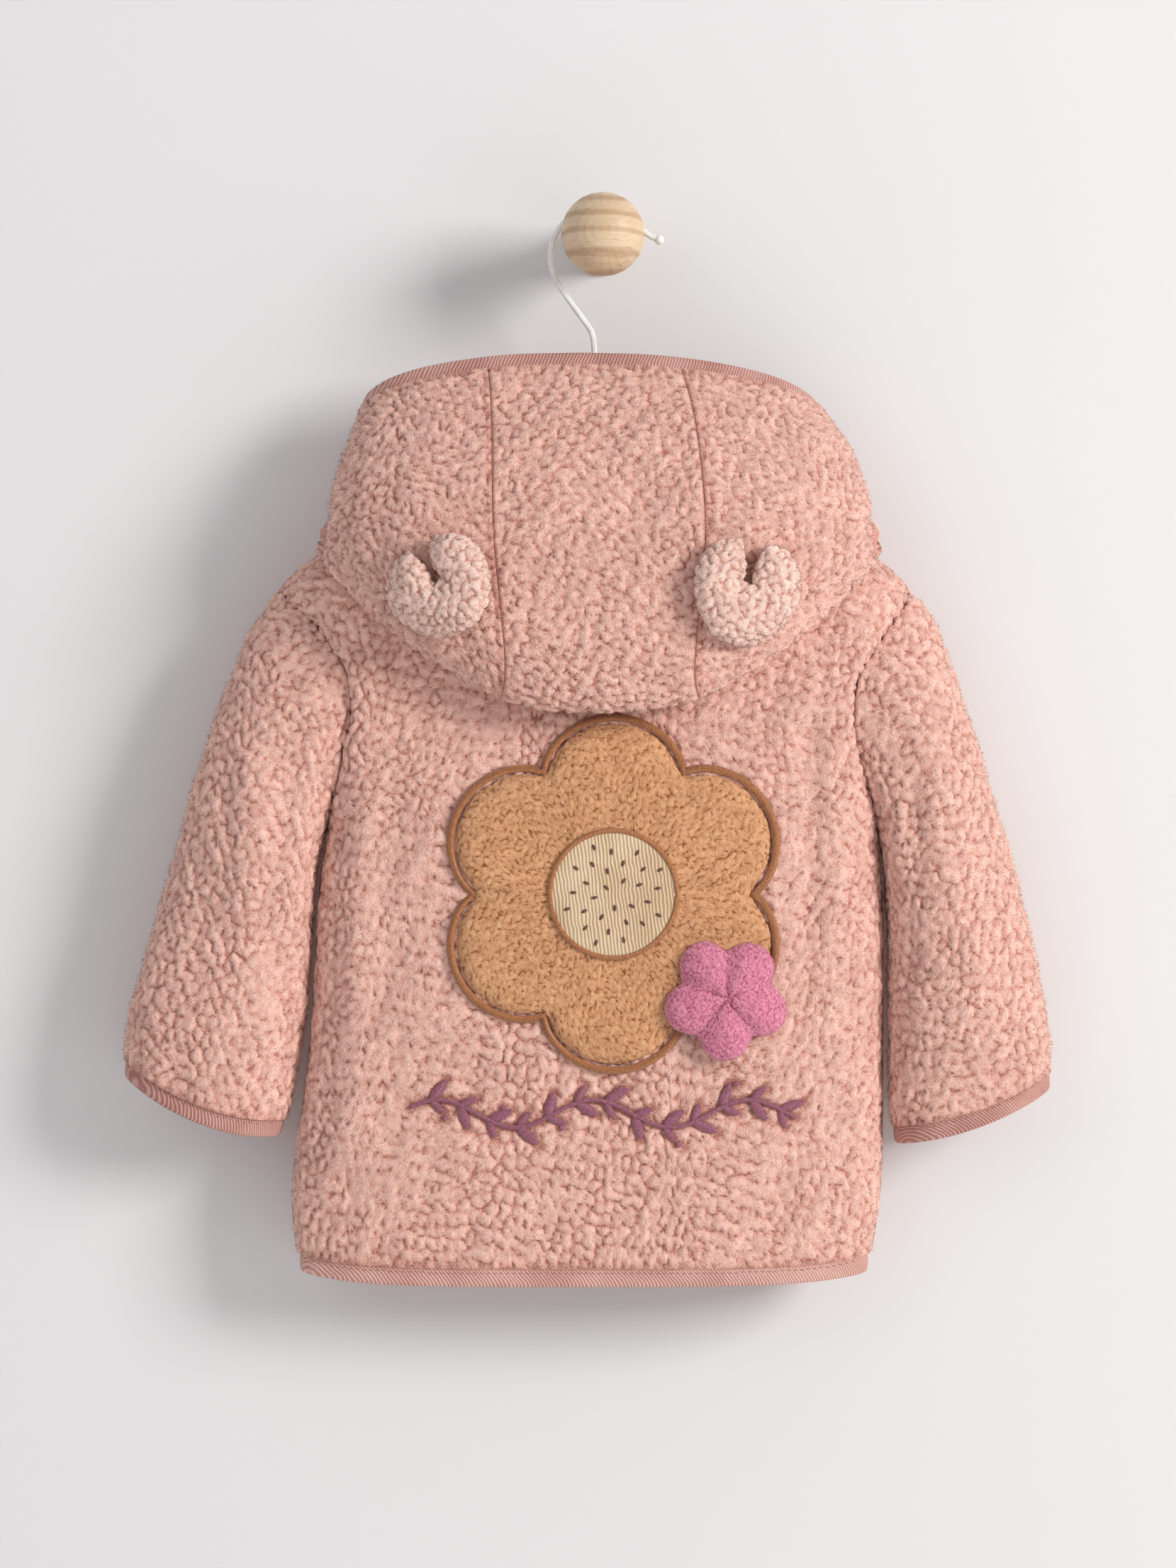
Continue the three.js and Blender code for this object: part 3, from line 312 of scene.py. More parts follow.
knit = knit_material()
# Each thread finish below: a lit colour on the threads' ridges, then the painted shade between them.
RIB_RIDGE_LIT = rgb(214, 166, 154)
RIB_GROOVE_SHADE = rgb(168, 112, 102)
TWILL = (0.0014, 0.8, 0.00035, 0.15)  # the ribs' pitch in metres, roughness, the ribs' depth, sheen
hem_twill = thread_material("hem twill", rgb(228, 182, 170), rgb(184, 130, 120), (0.8, 0.8, 0.6), *TWILL)
cuff_twill_left = thread_material("cuff twill left", RIB_RIDGE_LIT, RIB_GROOVE_SHADE, (0.9, 0.9, 0.15), *TWILL)
cuff_twill_right = thread_material("cuff twill right", RIB_RIDGE_LIT, RIB_GROOVE_SHADE, (0.6, 0.8, 0.9), *TWILL)
hood_twill = thread_material("hood twill", RIB_RIDGE_LIT, RIB_GROOVE_SHADE, (0.9, 0.3, -0.55), *TWILL)
zip_tape = thread_material(
    "zip tape weave", rgb(206, 158, 148), rgb(176, 124, 116), (0.5, 0.2, 1.0), 0.0009, 0.85, 0.0002, 0.1
)
cream = thread_material(
    "cream fill stitch", rgb(230, 206, 172), rgb(182, 148, 112), (1.0, 0.0, 0.12), 0.0017, 0.55, 0.0003, 0.2
)
# Each stitch thread: its colour with painted light on the twist's ridges, then its painted shade in the grooves.
satin = along_material("brown satin stitch", rgb(200, 132, 80), rgb(128, 72, 34), 0.42, 0.3)
plum = along_material("plum satin stitch", rgb(172, 104, 122), rgb(110, 52, 74), 0.45, 0.3)
cocoa = along_material("cocoa seed stitch", rgb(122, 78, 56), rgb(70, 38, 26), 0.5, 0.2)
rose_thread = along_material("rose sewing thread", rgb(196, 142, 132), rgb(150, 98, 90), 0.6, 0.2)


def metal_material():
    """Brushed nickel with fine scratches."""
    made, shader, surface, place = material("satin nickel", 0.32, Metallic=1.0)
    scratch = shader.noise(place, 900.0, Detail=4.0, Distortion=0.4)
    shader.tree.links.new(shader.mix(scratch, rgb(170, 166, 164), rgb(206, 203, 200)), surface.inputs["Base Color"])
    shader.tree.links.new(shader.spread(scratch, 0.3, 0.7, 0.24, 0.42), surface.inputs["Roughness"])
    bump(shader, surface, scratch, 0.15, 0.0002)
    return made


def coated_wire_material():
    """White plastic coat over wire, a little uneven in tone and gloss."""
    made, shader, surface, place = material("white coated wire", 0.35, Coat_Weight=0.25)
    mottle = shader.noise(place, 240.0, Detail=3.0)
    shader.tree.links.new(
        shader.mix(shader.spread(mottle, 0.35, 0.7), rgb(244, 243, 240), rgb(226, 224, 219)),
        surface.inputs["Base Color"],
    )
    shader.tree.links.new(shader.spread(mottle, 0.3, 0.7, 0.28, 0.46), surface.inputs["Roughness"])
    bump(shader, surface, mottle, 0.2, 0.0003)
    return made


def wood_material():
    """Waxed beech: grain bands across the ball, fine pores along them."""
    made, shader, surface, place = material("waxed beech", 0.5, Coat_Weight=0.12, Coat_Roughness=0.4)
    turned = shader.node(
        "ShaderNodeMapping", {"Vector": place, "Rotation": (0.15, 0.12, 0.0), "Scale": (0.18, 0.35, 1.0)}
    ).outputs[0]
    drift = shader.noise(turned, 90.0, Detail=3.0, Distortion=0.8)
    bands = shader.node(
        "ShaderNodeTexWave",
        {"Vector": turned, "Scale": 34.0, "Distortion": 5.0, "Detail": 3.0, "Detail Scale": 1.4},
        bands_direction="Z",
    ).outputs["Fac"]
    drawn = shader.node("ShaderNodeMapping", {"Vector": place, "Scale": (60.0, 240.0, 1500.0)}).outputs[0]
    pores = shader.noise(drawn, 1.0, Detail=2.0)
    pale = shader.mix(shader.spread(drift, 0.3, 0.7), rgb(222, 196, 164), rgb(206, 176, 142))
    grain = shader.mix(shader.spread(bands, 0.55, 1.0, 0.0, 0.6), pale, rgb(170, 132, 98))
    flecked = shader.mix(shader.spread(pores, 0.56, 0.72, 0.0, 0.35), grain, rgb(150, 112, 82))
    shader.tree.links.new(flecked, surface.inputs["Base Color"])
    shader.tree.links.new(shader.spread(bands, 0.0, 1.0, 0.44, 0.58), surface.inputs["Roughness"])
    bump(shader, surface, pores, 0.2, 0.0003)
    return made


metal = metal_material()
coated_wire = coated_wire_material()
wood = wood_material()


# ---------------------------------------------------------------- fleece


def welded(name, piece):
    """A copy of a solid for a cloth piece, with its loose triangles welded into quads."""
    cloth = bpy.data.objects.new(piece, solids[name].data.copy())
    cloth.data.materials.clear()
    bpy.context.scene.collection.objects.link(cloth)
    only(cloth)
    bpy.ops.object.mode_set(mode="EDIT")
    bpy.ops.mesh.select_all(action="SELECT")
    bpy.ops.mesh.remove_doubles(threshold=1e-5)
    bpy.ops.mesh.tris_convert_to_quads(face_threshold=math.radians(50), shape_threshold=math.radians(70))
    bpy.ops.object.mode_set(mode="OBJECT")
    return cloth


def edge_faces(mesh):
    """The faces on both sides of each edge."""
    sides = {}
    for face in mesh.polygons:
        for key in face.edge_keys:
            sides.setdefault(key, []).append(face.index)
    return sides


OUTSIDE, INSIDE, RIM = 0, 1, 2
CORNER = 68.0  # degrees between faces, above which an edge is a cloth's cut edge
CREASE = 0.9
SKIN_SHARE = 0.2  # of the outside's area, above which another region is the inside


def split_skins(cloth, corner=CORNER):
    """Creases the sheet's cut edges and sorts its faces into outside, inside and the rims between them."""
    mesh = cloth.data
    sides = edge_faces(mesh)
    sharp = math.cos(math.radians(corner))
    creases = mesh.attributes.new("crease_edge", "FLOAT", "EDGE")
    joined = [[] for _ in mesh.polygons]
    for edge in mesh.edges:
        pair = sides[edge.key]
        if len(pair) == 2 and mesh.polygons[pair[0]].normal.dot(mesh.polygons[pair[1]].normal) > sharp:
            joined[pair[0]].append(pair[1])
            joined[pair[1]].append(pair[0])
        else:
            creases.data[edge.index].value = CREASE
    region = [-1] * len(mesh.polygons)
    areas = []
    for start in range(len(region)):
        if region[start] >= 0:
            continue
        region[start] = len(areas)
        waiting, area = [start], 0.0
        while waiting:
            face = waiting.pop()
            area += mesh.polygons[face].area
            for other in joined[face]:
                if region[other] < 0:
                    region[other] = len(areas)
                    waiting.append(other)
        areas.append(area)
    widest = max(areas)
    kinds = [OUTSIDE if area == widest else INSIDE if area > SKIN_SHARE * widest else RIM for area in areas]
    for face in mesh.polygons:
        face.material_index = kinds[region[face.index]]


def smooth_over(cloth, levels):
    """Rounds a piece by subdivision; its creased edges stay."""
    only(cloth)
    rounder = cloth.modifiers.new("round", "SUBSURF")
    rounder.levels = levels
    rounder.render_levels = levels
    bpy.ops.object.modifier_apply(modifier="round")


def refine(cloth, longest, rounds=4):
    """Splits the long edges of the outside until none is longer than this."""
    only(cloth)
    for _ in range(rounds):
        mesh = cloth.data
        ends = read(mesh.edges, "vertices", np.int64, 2)
        points = points_of(cloth)
        lengths = np.linalg.norm(points[ends[:, 0]] - points[ends[:, 1]], axis=1)
        outside = np.zeros(len(mesh.edges), bool)
        outside[read(mesh.loops, "edge_index", np.int64)[loop_materials(mesh) != INSIDE]] = True
        chosen = (lengths > longest) & outside
        if chosen.sum() < 20:
            break
        mesh.polygons.foreach_set("select", np.zeros(len(mesh.polygons), bool))
        mesh.vertices.foreach_set("select", np.zeros(len(mesh.vertices), bool))
        mesh.edges.foreach_set("select", chosen)
        bpy.ops.object.mode_set(mode="EDIT")
        bpy.ops.mesh.select_mode(type="EDGE")
        bpy.ops.mesh.subdivide(number_cuts=1, ngon=False, quadcorner="INNERVERT")
        bpy.ops.object.mode_set(mode="OBJECT")


def loop_materials(mesh):
    """The kind of face that each face corner belongs to."""
    kinds = read(mesh.polygons, "material_index", np.int64)
    return np.repeat(kinds, read(mesh.polygons, "loop_total", np.int64))


def waves(points, length, seed):
    """Smooth unevenness from about -1 to 1, from a few waves in different directions."""
    rng = np.random.default_rng(seed)
    total = np.zeros(len(points))
    for _ in range(6):
        direction = rng.normal(size=3)
        direction *= 2 * math.pi / (length * rng.uniform(0.75, 1.35) * np.linalg.norm(direction))
        total += np.sin(points @ direction + rng.uniform(0, 2 * math.pi))
    return total / 3.2


def corner_points(mesh):
    """The triangles' points, their areas and the kinds of face that they belong to."""
    mesh.calc_loop_triangles()
    triangles = mesh.loop_triangles
    corners = read(triangles, "vertices", np.int64, 3)
    return corners, read(triangles, "area"), read(triangles, "material_index", np.int64)


def tree_of(places):
    """A tree in which the places nearest to a point are found."""
    tree = KDTree(len(places))
    for i, place in enumerate(places.tolist()):
        tree.insert(place, i)
    tree.balance()
    return tree


# The tufts. Lengths are shares of a tuft's size.
STREWN = 7  # places strewn for each square of a tuft's size
SPACING = 0.8  # the nearest that two tufts stand
SLOPE = 0.8  # the way over which a tuft rises from its cleft
WANDER, WANDER_LENGTH = 0.16, 1.7  # how far the clefts wander, and in what waves
FILLED, FILLED_LENGTH = 0.5, 1.3  # how far some clefts are filled, and in what waves
ROUNDNESS = 2.3
LOWEST = 0.76  # the height of the smallest tuft, as a share of the tallest


def tuft_centres(cloth, size, stretch, rng):
    """Evenly strewn places on the outside, none nearer to another than most of a tuft."""
    corners, areas, kinds = corner_points(cloth.data)
    weight = areas * (kinds != INSIDE)
    count = int(STREWN * weight.sum() / size**2 / stretch)
    chosen = corners[rng.choice(len(corners), count, p=weight / weight.sum())]
    share = rng.dirichlet((1, 1, 1), count)
    places = (points_of(cloth)[chosen] * share[:, :, None]).sum(axis=1)
    places[:, 2] /= stretch
    tree = tree_of(places)
    free = [True] * count
    kept = []
    for i, place in enumerate(places.tolist()):
        if free[i]:
            kept.append(i)
            for _, other, _ in tree.find_range(place, SPACING * size):
                free[other] = False
    return places[kept]


def tufts(cloth, points, chosen, size, stretch, seed):
    """Rounded tufts with narrow, broken clefts: height 0 to 1, and a shade of its own for each tuft."""
    rng = np.random.default_rng(seed)
    centres = tuft_centres(cloth, size, stretch, rng)
    tones = rng.uniform(0, 1, len(centres))
    tree = tree_of(centres)
    place = points.copy()
    for axis in range(3):
        place[:, axis] += WANDER * size * waves(points, size * WANDER_LENGTH, seed + axis)
    place[:, 2] /= stretch
    rise, shade = np.zeros(len(points)), np.zeros(len(points))
    for i in np.flatnonzero(chosen).tolist():
        (_, nearest, first), (_, _, second) = tree.find_n(place[i], 2)
        rise[i] = (second - first) / (SLOPE * size)
        shade[i] = tones[nearest]
    rise += FILLED * np.clip(waves(points, size * FILLED_LENGTH, seed + 5) + 0.1, 0, 1)
    return (1 - (1 - np.clip(rise, 0, 1)) ** ROUNDNESS) * (LOWEST + 0.24 * shade), shade


# Soft ridges and hollows of the hanging cloth on the side that faces out:
# both ends as x and z, half the width, and the height, all in mm.
FOLDS = [
    (-166, -262, -168, -372, 11, 2.2),
    (-196, -300, -204, -380, 16, -1.4),
    (-146, -250, -160, -330, 7, -1.8),
    (160, -255, 172, -385, 13, 2.0),
    (148, -262, 146, -352, 6, -1.8),
    (-112, -262, -118, -430, 9, 1.6),
    (-98, -240, -104, -360, 8, -1.4),
    (112, -240, 114, -400, 9, 1.4),
    (98, -230, 100, -330, 7, -1.4),
    (-60, -405, 70, -415, 14, -0.8),
    (-112, -196, -84, -216, 8, -1.5),
    (110, -190, 84, -214, 8, -1.5),
]


def folds(points):
    """How far the folds lift each point, in metres."""
    lift = np.zeros(len(points))
    x, z = points[:, 0] / MM, points[:, 2] / MM
    facing = points[:, 1] < MIDDLE_Y
    for x0, z0, x1, z1, width, height in FOLDS:
        run = np.array([x1 - x0, z1 - z0], float)
        t = np.clip(((x - x0) * run[0] + (z - z0) * run[1]) / (run @ run), 0, 1)
        far = np.hypot(x - x0 - t * run[0], z - z0 - t * run[1])
        lift += height * np.exp(-((far / width) ** 2)) * facing
    return lift * MM


def vine_points():
    """The embroidered vine's stem, as x and z in mm."""
    line = []
    for i in range(161):
        t = i / 160
        line.append((-92 + 184 * t, -417 + 6.5 * math.sin(t * 5 * math.pi + 0.4)))
    return line


def vine_threads():
    """Each thread's kind, its line in x and z, and its width in mm: a stem, leaves in pairs and small buds."""
    stem = vine_points()
    threads = [("stem", stem, 2.0)]
    for i, k in enumerate(range(9, 156, 12)):
        x, z = stem[k]
        slope = math.atan2(stem[k + 2][1] - z, stem[k + 2][0] - x)
        for side in (-1, 1):
            turn = slope + side * 0.82
            reach = 12.5 if (i + (side > 0)) % 2 else 9.5
            tip = (x + reach * math.cos(turn), z + reach * math.sin(turn))
            threads.append(("leaf", [(x, z), tip], reach * 0.4))
    for i, k in enumerate(range(15, 156, 24)):
        x, z = stem[k]
        side = 1 if i % 2 else -1
        threads.append(("bud", [(x - 1.4, z + side * 8.5), (x + 1.4, z + side * 8.5)], 3.4))
    return threads


VINE = vine_threads()
VINE_LINE = np.concatenate(
    [line if kind == "stem" else np.linspace(line[0], line[-1], 9) for kind, line, _ in VINE]
)


def pressed(points):
    """How much the embroidery holds the pile down: 1 on a stitched line, 0 away from it."""
    near = (points[:, 1] < MIDDLE_Y) & (points[:, 2] < -0.395) & (points[:, 2] > -0.445)
    held = np.zeros(len(points))
    places = points[near][:, [0, 2]] / MM
    if len(places):
        far = np.full(len(places), 99.0)
        for x, z in VINE_LINE:
            far = np.minimum(far, np.hypot(places[:, 0] - x, places[:, 1] - z))
        held[near] = np.clip(1 - (far - 1.6) / 2.0, 0, 1)
    return held


def kinds_of_points(mesh):
    """For each point, whether it belongs to an outside, inside or rim face."""
    vertex = read(mesh.loops, "vertex_index", np.int64)
    kinds = loop_materials(mesh)
    found = np.zeros((3, len(mesh.vertices)), bool)
    for kind in (OUTSIDE, INSIDE, RIM):
        found[kind, vertex[kinds == kind]] = True
    return found


# Millimetres by which a cloth's cut edge stands out, and the trough along its seams.
RIM_LIFT = 0.55
SEAM_DEPTH, SEAM_WIDTH = 0.35, 2.6
STITCHED_DOWN = 0.85  # the share of the pile's height that embroidery presses down


def raise_pile(cloth, size, stretch, height, seed, sink):
    """Lifts the outside of a cloth piece into tufts that bulge over its seams, and keeps the pile's height."""
    points, normals = points_of(cloth), normals_of(cloth)
    outer, inner, rim = kinds_of_points(cloth.data)
    free = (outer | rim) & ~inner
    tall, shade = tufts(cloth, points, free, size, stretch, seed)
    held = pressed(points) if cloth.name == "back_fleece" else np.zeros(len(points))
    tall = tall * (1 - STITCHED_DOWN * held)
    seam = np.zeros(len(points))
    if rim.any():
        rims = tree_of(points[rim])
        for i in np.flatnonzero(free).tolist():
            seam[i] = rims.find(points[i])[2]
        seam = np.exp(-((seam / (SEAM_WIDTH * MM)) ** 2)) * free
    lift = (tall * height + 0.25 * height * waves(points, size * 5, seed + 9) - sink) * MM
    lift += folds(points)
    lift = np.where(rim, RIM_LIFT * MM, lift - SEAM_DEPTH * MM * seam)
    # The pile value sets the colour, so low tufts, the pile pressed down by the embroidery, the seams' troughs and
    # the rims get painted shade.
    mark(cloth, "pile", np.where(free, tall * (1 - 0.55 * seam), 0.25))
    mark(cloth, "shade", shade)
    move_points(cloth, points + normals * (lift * free)[:, None])


NAP_DROOP = -0.28  # how far the fibres lean down
NAP_ROOT = 0.0004  # metres by which they stand in the pile


def nap(cloth, name, count, length, width, seed, finish, slot):
    """Short fibres that stand out of the tufts and soften their outline."""
    mesh = cloth.data
    corners, areas, kinds = corner_points(mesh)
    pile = read(mesh.attributes["pile"].data, "value", np.float32)
    shade = read(mesh.attributes["shade"].data, "value", np.float32)
    rng = np.random.default_rng(seed)
    weight = areas * (kinds == OUTSIDE) * (0.15 + pile[corners].mean(axis=1))
    chosen = corners[rng.choice(len(corners), count, p=weight / weight.sum())]
    share = rng.dirichlet((1, 1, 1), count)
    points, normals = points_of(cloth), normals_of(cloth)
    root = (points[chosen] * share[:, :, None]).sum(axis=1)
    up = (normals[chosen] * share[:, :, None]).sum(axis=1)
    up /= np.linalg.norm(up, axis=1)[:, None]
    lean = up + rng.normal(scale=0.42, size=(count, 3)) + np.array([0.0, 0.0, NAP_DROOP])
    lean /= np.linalg.norm(lean, axis=1)[:, None]
    aside = np.cross(lean, rng.normal(size=(count, 3)))
    aside /= np.linalg.norm(aside, axis=1)[:, None]
    half = aside * (width * MM / 2) * rng.uniform(0.6, 1.3, (count, 1))
    reach = length * MM * rng.uniform(0.45, 1.0, (count, 1))
    low = root - up * NAP_ROOT
    spots = np.stack([low - half, low + half, low + lean * reach], axis=1).reshape(-1, 3)
    fibres = mesh_piece(name, spots, np.arange(3 * count).reshape(-1, 3).tolist())
    height = np.repeat((pile[chosen] * share).sum(axis=1), 3)
    # The fibres' tips get a higher pile value and so a paler colour: painted light.
    height[2::3] += 0.35
    mark(fibres, "pile", np.clip(height, 0, 1))
    mark(fibres, "shade", np.repeat((shade[chosen] * share).sum(axis=1), 3))
    shade_softly(fibres)
    fibres.data.normals_split_custom_set_from_vertices(np.repeat(up * 0.75 + lean * 0.25, 3, axis=0))
    fibres.data.materials.append(finish)
    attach(fibres, "root")


def fleece_piece(
    name, piece, finish, slot, *, tuft, stretch, height, sink, edge, fibres, nap_size, seed, corner=CORNER
):
    """Dresses a solid in pile. Tuft, height, sink, edge and the nap's length and width are in mm."""
    cloth = welded(name, piece)
    split_skins(cloth, corner)
    smooth_over(cloth, 2)
    refine(cloth, edge * MM)
    raise_pile(cloth, tuft * MM, stretch, height, seed, sink)
    for surface in (finish, knit, finish):
        cloth.data.materials.append(surface)
    shade_softly(cloth)
    cloth.data.update()
    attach(cloth, "root")
    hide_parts(name)
    nap(cloth, piece + "_nap", fibres, *nap_size, seed, finish, slot)
    return cloth


# Each panel's fibres, stretch of its tufts, longest edge in mm, corner in degrees, flat size and whole cut.
PANELS = {
    "back": (42000, 1.25, 2.05, 50, (0.33, 0.40), 0.105),
    "front_left": (9000, 1.25, 3.0, 50, (0.18, 0.40), 0.050),
    "front_right": (9000, 1.25, 3.0, 50, (0.18, 0.40), 0.050),
    "sleeve_left": (22000, 1.35, 1.9, 50, (0.26, 0.26), 0.041),
    "sleeve_right": (22000, 1.35, 1.9, 50, (0.26, 0.26), 0.038),
    "hood_left": (16000, 1.0, 2.2, 68, (0.17, 0.24), 0.026),
    "hood_centre": (17000, 1.0, 1.7, 68, (0.11, 0.30), 0.026),
    "hood_right": (16000, 1.0, 2.2, 68, (0.17, 0.24), 0.026),
}
for seed, (name, (fibres, stretch, edge, corner, flat, area)) in enumerate(PANELS.items(), 40):
    panel = fleece_piece(
        name, name + "_fleece", fleece, "fleece", tuft=4.5, stretch=stretch, height=2.2, sink=1.2,
        edge=edge, fibres=fibres, nap_size=(2.6, 0.26), seed=seed, corner=corner,
    )

for name in ("ear_left", "ear_right"):
    ear = fleece_piece(
        name, name + "_fleece", ear_fleece, "ear_fleece", tuft=4.2, stretch=1.1, height=1.9, sink=0.9,
        edge=1.4, fibres=7000, nap_size=(2.6, 0.2), seed=60,
    )

flower = fleece_piece(
    "flower", "flower_fleece", caramel, "caramel_fleece", tuft=2.7, stretch=1.15, height=0.9, sink=0.5,
    edge=1.55, fibres=18000, nap_size=(1.7, 0.22), seed=71,
)
blossom = fleece_piece(
    "blossom", "blossom_plush", plush, "pink_plush", tuft=1.8, stretch=1.2, height=0.5, sink=0.3,
    edge=0.9, fibres=11000, nap_size=(1.5, 0.2), seed=73,
)


# ---------------------------------------------------------------- bindings, tapes and embroidery


def surface_of(*things):
    """Rays can be cast at this."""
    points, faces = [], []
    for thing in things:
        start = len(points)
        points += [v.co.copy() for v in thing.data.vertices]
        faces += [[start + v for v in face.vertices] for face in thing.data.polygons]
    return BVHTree.FromPolygons(points, faces)


def tape_piece(name, piece, finish, slot, flat=None, held=None, level=2, **more):
    """A tape or stitched filling on its solid's form, with softer creases than a cut edge has."""
    tape = welded(name, piece)
    split_skins(tape)
    creases = tape.data.attributes["crease_edge"]
    creases.data.foreach_set("value", read(creases.data, "value", np.float32) * 0.6)
    smooth_over(tape, level)
    tape.data.materials.append(finish)
    tape.data.polygons.foreach_set("material_index", np.zeros(len(tape.data.polygons), np.int32))
    shade_softly(tape)
    tape.data.update()
    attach(tape, "root")
    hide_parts(name)
    return tape


hem_tape = tape_piece("hem_binding", "hem_tape", hem_twill, "twill_binding", (0.0145, 0.56), "folded")
hood_tape = tape_piece("hood_binding", "hood_tape", hood_twill, "twill_binding", (0.0148, 0.40), "folded")
cuff_tapes = [
    tape_piece("cuff_binding_" + side, "cuff_tape_" + side, twill, "twill_binding", (0.0148, 0.19), "folded")
    for side, twill in (("left", cuff_twill_left), ("right", cuff_twill_right))
]


SIDES = 8  # points round a thread


def strand(line, normals, width, height, twist, leaf=False):
    """A raised thread along points, its ends drawn in, or drawn out as a leaf."""
    count = len(line)
    points, faces, along = [], [], []
    travelled = 0.0
    for i, (spot, up) in enumerate(zip(line, normals)):
        ahead = (line[min(i + 1, count - 1)] - line[max(i - 1, 0)]).normalized()
        aside = ahead.cross(up).normalized()
        if i:
            travelled += (spot - line[i - 1]).length
        ends = min(i, count - 1 - i)
        swell = 0.35 if ends == 0 else 0.8 if ends == 1 else 1.0
        if leaf:
            swell = 0.12 + 0.88 * math.sin(math.pi * (i / (count - 1)) ** 0.8) ** 0.8
        for k in range(SIDES):
            angle = 2 * math.pi * k / SIDES
            points.append(
                spot + aside * (math.cos(angle) * width / 2 * swell) + up * (math.sin(angle) * height / 2 * swell)
            )
            along.append(travelled * twist + (0.9 * abs(math.cos(angle)) if leaf else 0.5 * math.cos(angle)))
            if i:
                a, b = (i - 1) * SIDES + k, (i - 1) * SIDES + (k + 1) % SIDES
                faces.append([a, a + SIDES, b + SIDES, b])
    faces.append(list(range(SIDES)))
    faces.append([len(points) - SIDES + k for k in reversed(range(SIDES))])
    return points, faces, along


def sew(name, threads, finish, twist):
    """Joins threads into one piece. Each thread is (points, normals, width, height), and more for a leaf."""
    points, faces, along = [], [], []
    for line, normals, width, height, *leaf in threads:
        start = len(points)
        more, rows, places = strand(line, normals, width, height, twist, bool(leaf))
        points += more
        faces += [[start + v for v in row] for row in rows]
        along += places
    piece = mesh_piece(name, points, faces)
    mark(piece, "strand", along)
    only(piece)
    bpy.ops.object.mode_set(mode="EDIT")
    bpy.ops.mesh.select_all(action="SELECT")
    bpy.ops.mesh.normals_make_consistent(inside=False)
    bpy.ops.object.mode_set(mode="OBJECT")
    shade_softly(piece)
    piece.data.materials.append(finish)
    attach(piece, "root")


back_surface = surface_of(solids["back"])
OUT = Vector((0, -1, 0))


def on_surface(surface, x, z, lift, way=1):
    """The point on a surface seen along Y at x and z, raised off it, all in metres."""
    hit = surface.ray_cast(Vector((x, -0.3 * way, z)), Vector((0, way, 0)))
    if hit[0] is None:
        return None, None
    return hit[0] + hit[1] * lift, hit[1]


def laid_line(surface, line, lift):
    """A line of x and z in mm, laid on a surface and raised off it."""
    spots, ups = [], []
    for x, z in line:
        spot, up = on_surface(surface, x * MM, z * MM, lift * MM)
        if spot:
            spots.append(spot)
            ups.append(up)
    return spots, ups


def resample(line, step):
    """Points at even steps along a line of x and z."""
    line = np.array(line)
    lengths = np.r_[0, np.cumsum(np.hypot(*np.diff(line, axis=0).T))]
    places = np.linspace(0, lengths[-1], max(4, int(lengths[-1] / step)))
    return np.stack([np.interp(places, lengths, line[:, k]) for k in (0, 1)], axis=1)


vine_pieces = []
for kind, line, width in VINE:
    spots, ups = laid_line(back_surface, resample(line, 0.6), -0.1)
    vine_pieces.append((spots, ups, width * MM, 1.7 * MM) + (() if kind == "stem" else (True,)))
sew("vine_embroidery", vine_pieces, plum, 1100)


def edge_stitches(surface, xs, pick_top, inset, way=1):
    """Short stitches along a binding's edge, found by looking at it along Y."""
    made = []
    for x in xs:
        seen = []
        for z in np.arange(-0.515, -0.04, 0.0006):
            spot, up = on_surface(surface, x * MM, z, 0.0, way)
            if spot and abs(spot.y - MIDDLE_Y) > 0.004:
                seen.append(z)
        if not seen:
            continue
        z = (max(seen) if pick_top else min(seen)) + (-inset if pick_top else inset) * MM
        line, ups = [], []
        for dx in (-0.95, -0.5, 0.0, 0.5, 0.95):
            spot, up = on_surface(surface, (x + dx) * MM, z, 0.05 * MM, way)
            if spot:
                line.append(spot)
                ups.append(up)
        if len(line) == 5:
            made.append((line, ups, 0.55 * MM, 0.45 * MM))
    return made


STITCH_STEP, STITCH_INSET = 3.1, 1.5
BESIDE_ZIP = 9  # the hem has no stitches nearer to the zip
hem_surface = surface_of(hem_tape)
hem_places = np.arange(-138, 121, STITCH_STEP)
stitches = edge_stitches(hem_surface, hem_places, True, STITCH_INSET)
stitches += edge_stitches(hem_surface, [x for x in hem_places if abs(x) > BESIDE_ZIP], True, STITCH_INSET, -1)
stitches += edge_stitches(surface_of(hood_tape), np.arange(-108, 98, STITCH_STEP), False, STITCH_INSET)
for tape, low, high in zip(cuff_tapes, (-226, 142), (-155, 212)):
    stitches += edge_stitches(surface_of(tape), np.arange(low, high, STITCH_STEP), True, STITCH_INSET)
sew("binding_stitches", stitches, rose_thread, 1500)


# The flower's middle and its heart, and the line of its petals, in mm.
FLOWER_X, FLOWER_Z, HEART_RADIUS = 5, -313, 30
PETALS, PETAL_MEAN, PETAL_DEPTH = 6, 72, 9


def petal_edge(angle):
    return PETAL_MEAN + PETAL_DEPTH * (2 * abs(math.cos(PETALS * (angle + math.pi / 2) / 2)) ** 0.7 - 1)


def round_the_flower(count, radius):
    """A closed line of x and z round the flower's middle, its radius given by the angle."""
    line = []
    for i in range(count + 1):
        angle = 2 * math.pi * i / count
        line.append((FLOWER_X + radius(angle) * math.cos(angle), FLOWER_Z + radius(angle) * math.sin(angle)))
    return line


